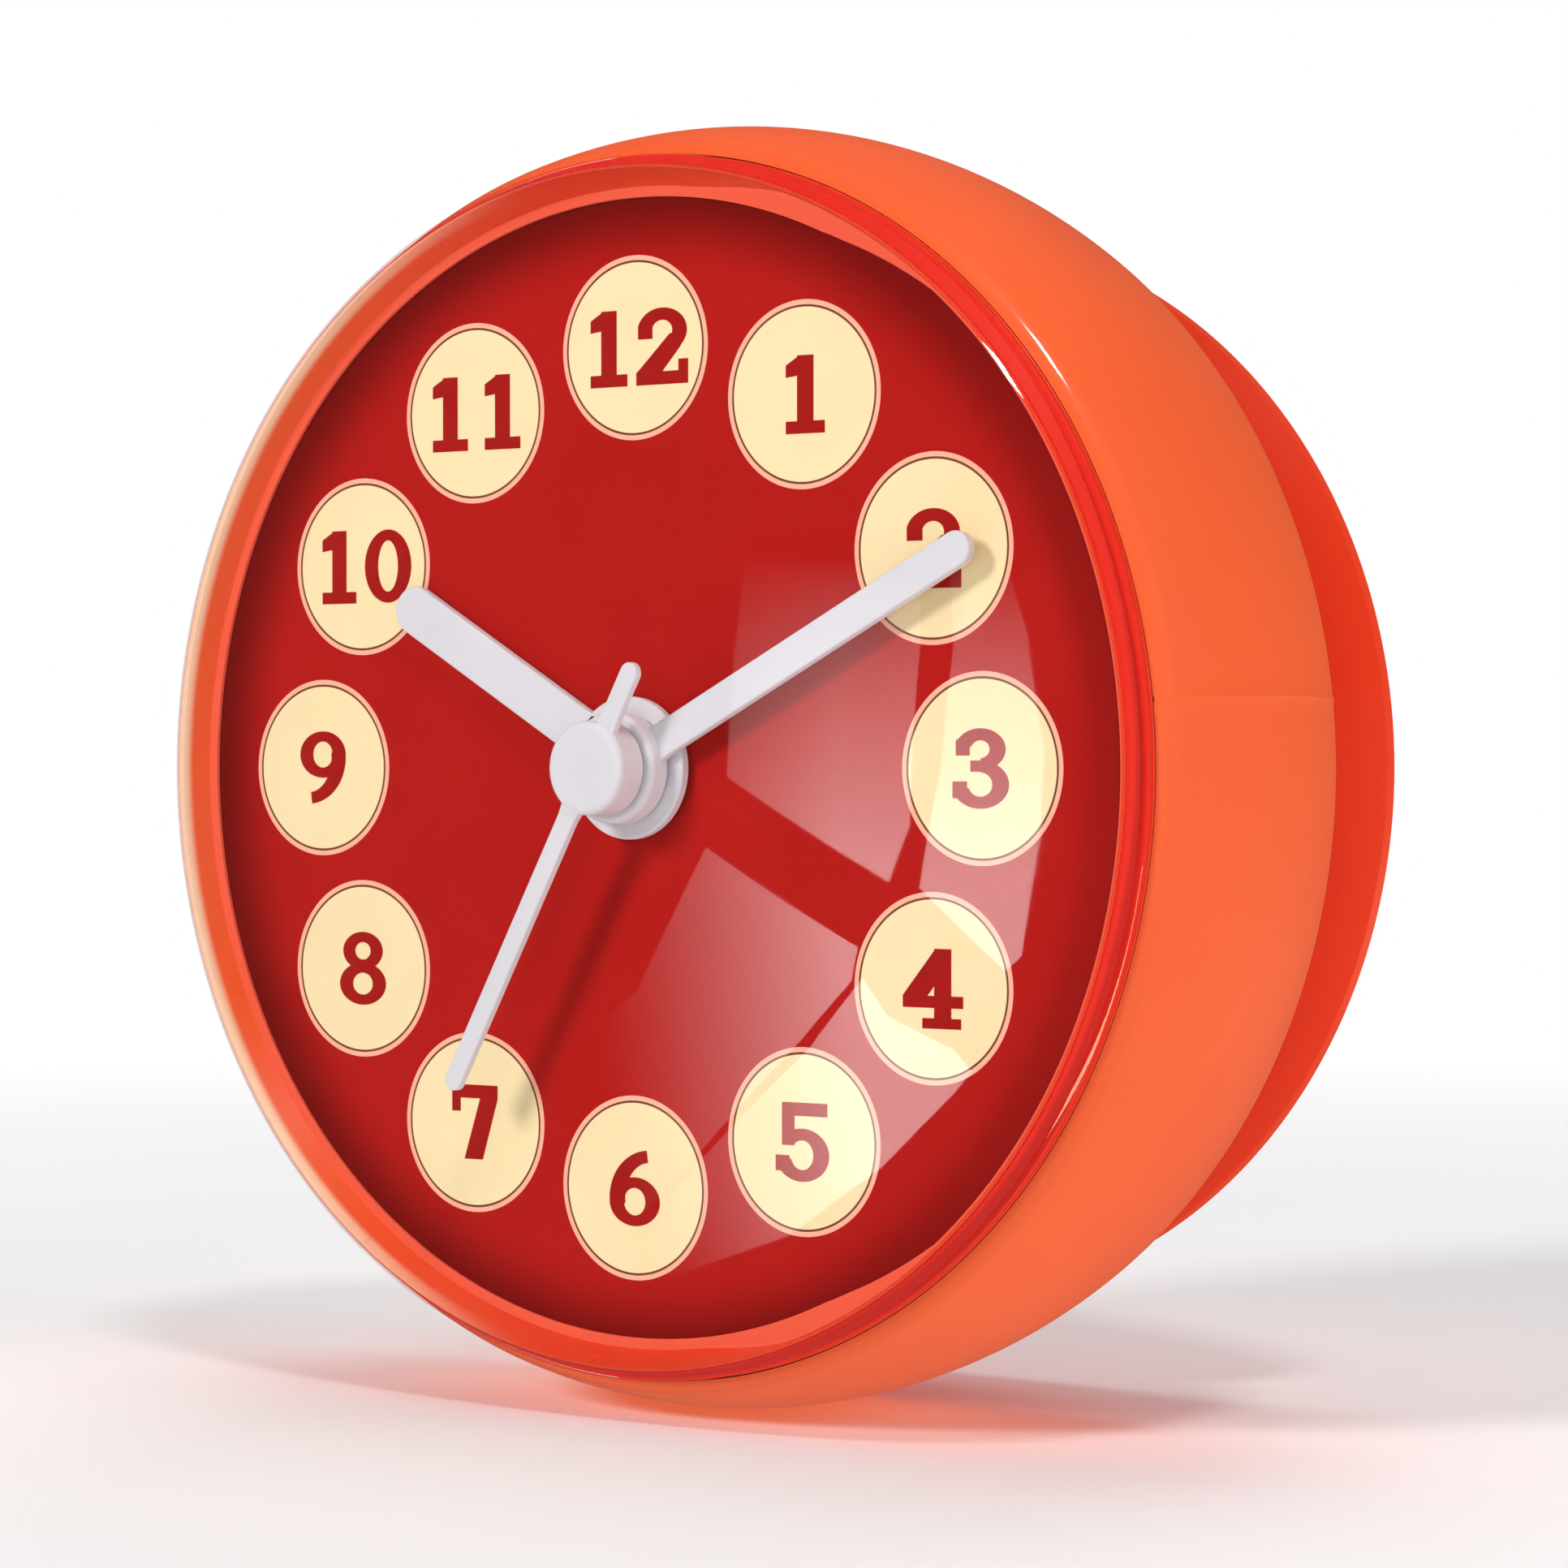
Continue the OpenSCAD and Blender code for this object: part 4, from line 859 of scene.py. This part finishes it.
def winding():
    """Turns of wire about the coil's own upright axis, filling the CAD's sleeve."""
    low, high = (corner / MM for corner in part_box("coil_winding"))
    turns = round((high.z - low.z) / WIRE_PITCH)
    half_wire = (high.z - low.z) / turns / 2
    wire_r = (high.x - low.x) / 2 - half_wire
    outline = [(WINDING_IN_R, 0)]
    for i in range(turns):
        outline += arc((wire_r, (2 * i + 1) * half_wire), half_wire, -math.pi / 2, math.pi / 2, WIRE_STEPS)
    outline.append((WINDING_IN_R, high.z - low.z))
    mesh = lathe(outline, steps=WINDING_STEPS)
    foot = Vector(((low.x + high.x) / 2, (low.y + high.y) / 2, low.z))
    mesh.transform(Matrix.Translation(foot) @ Matrix.Rotation(-math.pi / 2, 4, "X"))
    return mesh


piece("wire_turns", winding(), [copper_wire], "module", ["coil_winding"])


# Floor, room and lamps, metres

FLOOR_R = 2.5
FLOOR_STEPS = 64
FLOOR_CLOUD = 60.0  # millimetres
FLOOR_FADE_START = 0.09  # from the part's origin
FLOOR_FADE_END = 0.32
WHITE = (1, 1, 1, 1)

# Light from the room: a span of its direction along an axis, and the light where that span starts and ends
ROOM_Y = (-0.35, 0.3)
ROOM_LIGHT = (0.03, 0.09)  # in reflections
BELOW_Z = (-0.2, 0.1)
BELOW_LIGHT = (1.45, 0.24)  # on matt surfaces
FRONT_Y = (-0.8, -0.1)
FRONT_SHARE = (0.5, 1.1)  # how much of that comes from the front and from elsewhere

# Lamps, all aimed at the clock: place, width and height, watts, and whether glossy surfaces show it
CLOCK_MIDDLE = Vector((0, -0.022, 0))
LAMPS = {
    "key": ((-0.3, -0.82, 0.4), (0.22, 0.22), 5.0, False),
    "crown": ((-0.1, 0.12, 0.8), (0.4, 0.4), 1.7, False),
    "top": ((0.31, -0.28, 0.62), (0.1, 0.1), 1.3, True),
    "side": ((0.8, -0.06, 0.22), (0.5, 0.5), 2.15, False),
    "back": ((-0.3, 0.7, 0.5), (0.5, 0.5), 1.8, False),
    "low": ((0.28, -0.58, 0), (0.5, 0.05), 0.65, False),
}


def stage_plane(name, points, faces, material):
    """Flat faces that belong to the stage, not to the clock."""
    mesh = bpy.data.meshes.new(name)
    mesh.from_pydata(points, [], faces)
    mesh.materials.append(material)
    made = bpy.data.objects.new(name, mesh)
    bpy.context.scene.collection.objects.link(made)
    return made


def floor_material():
    """Pale floor that turns into the white surroundings away from the clock."""
    material, tree, shader = new_material("pale_floor")
    shader.inputs["Roughness"].default_value = 0.8
    shader.inputs["Specular IOR Level"].default_value = 0.1
    tone = ranged(tree, noise(tree, FLOOR_CLOUD), 0, 1)
    colour = mixed_colours(tree, tone, srgb(238, 238, 238), srgb(242, 242, 243))
    tree.links.new(colour, shader.inputs["Base Color"])
    place = add(tree, "ShaderNodeTexCoord").outputs["Object"]
    distance = add(tree, "ShaderNodeVectorMath", {0: place}, operation="LENGTH").outputs["Value"]
    far = mapped(tree, distance, FLOOR_FADE_START, FLOOR_FADE_END)
    camera_ray = add(tree, "ShaderNodeLightPath").outputs["Is Camera Ray"]
    white = add(tree, "ShaderNodeEmission", {"Color": WHITE, "Strength": 1.0})
    show(tree, mixed_shaders(tree, combined(tree, "MULTIPLY", far, camera_ray), shader, white))
    return material


floor_turns = [math.tau * i / FLOOR_STEPS for i in range(FLOOR_STEPS)]
floor_rim = [(FLOOR_R * math.cos(t), FLOOR_R * math.sin(t), -BARREL_R * MM) for t in floor_turns]
floor = stage_plane("floor", floor_rim, [tuple(range(FLOOR_STEPS))], floor_material())
floor.visible_diffuse = False
floor.visible_glossy = False
floor.visible_transmission = False


def background(tree, strength):
    """White light from the surroundings."""
    return add(tree, "ShaderNodeBackground", {"Color": WHITE, "Strength": strength})


def studio_world():
    """Room that is white straight to the camera, dim in reflections, and lights matt surfaces from below."""
    world = bpy.data.worlds.new("studio")
    world.use_nodes = True
    tree = world.node_tree
    tree.nodes.clear()
    path = add(tree, "ShaderNodeLightPath")
    direction = add(tree, "ShaderNodeSeparateXYZ", {0: add(tree, "ShaderNodeTexCoord").outputs["Generated"]})
    mirrored = background(tree, mapped(tree, direction.outputs["Y"], *ROOM_Y, *ROOM_LIGHT))
    below = mapped(tree, direction.outputs["Z"], *BELOW_Z, *BELOW_LIGHT)
    front = mapped(tree, direction.outputs["Y"], *FRONT_Y, *FRONT_SHARE)
    fill = background(tree, combined(tree, "MULTIPLY", below, front))
    unmirrored = combined(tree, "LESS_THAN", path.outputs["Glossy Depth"], 1)
    through = combined(tree, "MULTIPLY", path.outputs["Is Transmission Ray"], unmirrored)
    seen = combined(tree, "MAXIMUM", path.outputs["Is Camera Ray"], through)
    lit = mixed_shaders(tree, path.outputs["Is Glossy Ray"], fill, mirrored)
    shown = mixed_shaders(tree, seen, lit, background(tree, 1.0))
    add(tree, "ShaderNodeOutputWorld", {"Surface": shown.outputs[0]})
    return world


bpy.context.scene.world = studio_world()


def area_lamp(name, place, size, power, mirrored):
    """Soft lamp aimed at the clock; only a mirrored one shows in glossy surfaces."""
    lamp = bpy.data.lights.new(name, "AREA")
    lamp.shape = "RECTANGLE"
    lamp.size, lamp.size_y = size
    lamp.energy = power
    made = bpy.data.objects.new(name, lamp)
    made.location = place
    made.rotation_euler = (CLOCK_MIDDLE - Vector(place)).to_track_quat("-Z", "Y").to_euler()
    made.visible_camera = False
    made.visible_glossy = mirrored
    made.visible_transmission = mirrored
    bpy.context.scene.collection.objects.link(made)


for lamp_name, lamp_facts in LAMPS.items():
    area_lamp(lamp_name, *lamp_facts)


# Camera, fitted to the photograph's printed discs and case edges: metres, and degrees of tilt and turn
CAMERA_PLACE = Vector((0.17775, -0.25312, 0.00056))
CAMERA_TILT = 89.69
CAMERA_TURN = 36.9
CAMERA_NEAREST = 0.01
FOCAL_LENGTH = 106.7  # millimetres
SENSOR_WIDTH = 36.0  # millimetres
PHOTO_SIZE = 1932  # pixels each way

camera_data = bpy.data.cameras.new("camera")
camera_data.sensor_width = SENSOR_WIDTH
camera_data.lens = FOCAL_LENGTH
camera_data.clip_start = CAMERA_NEAREST
camera = bpy.data.objects.new("camera", camera_data)
camera.location = CAMERA_PLACE
camera.rotation_euler = (math.radians(CAMERA_TILT), 0, math.radians(CAMERA_TURN))
bpy.context.scene.collection.objects.link(camera)
bpy.context.scene.camera = camera
bpy.context.scene.view_settings.view_transform = "Standard"


# Bright window panes that only reflections meet: the way to them, how far they are in metres, their light,
# and the photograph's pixels, across and down, at which the lens's dome shows their corners
WINDOW_WAY = Vector((-0.277, -0.955, -0.107)).normalized()
WINDOW_AWAY = 0.6
WINDOW_LIGHT = 6.4
pane_left = WINDOW_WAY.cross(Vector((0, 0, 1))).normalized()
pane_up = pane_left.cross(WINDOW_WAY)
PANES = {
    "upper_left": [(925, 655), (896, 957), (1095, 1087), (1121, 1018), (1134, 797), (1137, 655)],
    "upper_right": [
        (1171, 655), (1175, 797), (1160, 942), (1133, 1094), (1239, 1197), (1259, 1178), (1282, 1033),
        (1287, 926), (1266, 781), (1232, 660),
    ],
    "lower_left": [
        (870, 1044), (1057, 1167), (1049, 1209), (984, 1285), (870, 1411), (786, 1502), (700, 1410),
        (686, 1320), (728, 1272), (784, 1222), (828, 1130),
    ],
    "lower_right": [
        (1063, 1205), (996, 1293), (873, 1419), (785, 1523), (820, 1575), (973, 1522), (1087, 1438),
        (1175, 1348), (1197, 1320), (1176, 1294), (1094, 1252),
    ],
}
# Fades of the panes' light: the way, where in metres it is full and where it has gone, and its steepness
PANE_FADES = [(pane_left, 0.02, 0.23, 2), (pane_up, 0.0, 0.19, 1)]


def window_material():
    """Light that fades towards the left and the top of the window."""
    material, tree, shader = new_material("window_light")
    tree.nodes.remove(shader)
    place = add(tree, "ShaderNodeTexCoord").outputs["Object"]
    strength = WINDOW_LIGHT
    for way, full, none, steepness in PANE_FADES:
        reach = add(tree, "ShaderNodeVectorMath", {0: place, 1: way}, operation="DOT_PRODUCT")
        fade = mapped(tree, reach.outputs["Value"], full, none, 1.0, 0.0)
        fade = combined(tree, "POWER", fade, steepness)
        strength = combined(tree, "MULTIPLY", strength, fade)
    show(tree, add(tree, "ShaderNodeEmission", {"Color": WHITE, "Strength": strength}))
    return material


def window_point(across, down):
    """Place on the window that the lens's dome mirrors to the camera at a pixel of the photograph."""
    ahead = FOCAL_LENGTH / SENSOR_WIDTH * PHOTO_SIZE
    ray = Vector((across - PHOTO_SIZE / 2, PHOTO_SIZE / 2 - down, -ahead)).normalized()
    ray.rotate(camera.rotation_euler)
    dome_middle = Vector((0, LENS_DOME - LENS_TOP, 0)) * MM
    hits = intersect_line_sphere(CAMERA_PLACE, CAMERA_PLACE + ray, dome_middle, LENS_DOME * MM, False)
    hit = min(hits, key=lambda place: (place - CAMERA_PLACE).length)
    mirrored = ray.reflect(hit - dome_middle)
    return intersect_line_plane(hit, hit + mirrored, WINDOW_WAY * WINDOW_AWAY, WINDOW_WAY)


pane_points, pane_faces = [], []
for corners in PANES.values():
    pane_faces.append(tuple(range(len(pane_points), len(pane_points) + len(corners))))
    pane_points += [window_point(across, down) for across, down in corners]
window = stage_plane("window", pane_points, pane_faces, window_material())

# Warm strip low behind the clock that only reflections meet. The lens's foot shows it between two clock
# angles, and leans in more and more there: the angles and the last lean in degrees, the power by which the
# lean grows, the strip's stretches, how far it is and half its width in metres, and its light
GLINT_START = 98
GLINT_END = 122
GLINT_LEAN = 12
GLINT_LEAN_POWER = 3
GLINT_STEPS = 3
GLINT_AWAY = 0.6
GLINT_HALF = 0.045
GLINT_LIGHT = 7.0
GLINT_CLOUD = 90.0  # millimetres
GLINT_SPREAD = (0.8, 1.2)
GLINT_COLOUR = (1, 0.72, 0.45, 1)


def glint_material():
    """Slightly uneven warm light."""
    material, tree, shader = new_material("warm_glint")
    tree.nodes.remove(shader)
    tone = ranged(tree, noise(tree, GLINT_CLOUD), *GLINT_SPREAD)
    strength = combined(tree, "MULTIPLY", tone, GLINT_LIGHT)
    show(tree, add(tree, "ShaderNodeEmission", {"Color": GLINT_COLOUR, "Strength": strength}))
    return material


def glint_foot(share):
    """Place on the lens's foot at a share of the glint, and the way from there to the strip's middle."""
    clock = math.radians(GLINT_START + (GLINT_END - GLINT_START) * share)
    lean = math.radians(GLINT_LEAN * share**GLINT_LEAN_POWER)
    outward = Vector((math.sin(clock), 0, math.cos(clock)))
    place = (outward * MODULE_R - Vector((0, LENS_FOOT, 0))) * MM
    normal = outward * math.cos(lean) - Vector((0, math.sin(lean), 0))
    return place, (place - CAMERA_PLACE).reflect(normal).normalized()


feet = [glint_foot(i / GLINT_STEPS) for i in range(GLINT_STEPS + 1)]
glint_points = []
for i, (place, way) in enumerate(feet):
    onward = feet[min(i + 1, GLINT_STEPS)][1] - feet[max(i - 1, 0)][1]
    across = way.cross(onward).normalized() * GLINT_HALF
    middle = place + way * GLINT_AWAY
    glint_points += [middle - across, middle + across]
glint_faces = [(2 * i, 2 * i + 1, 2 * i + 3, 2 * i + 2) for i in range(GLINT_STEPS)]
glint = stage_plane("glint", glint_points, glint_faces, glint_material())
for made in (window, glint):
    made.visible_camera = False
    made.visible_diffuse = False
    made.visible_transmission = False
    made.visible_shadow = False
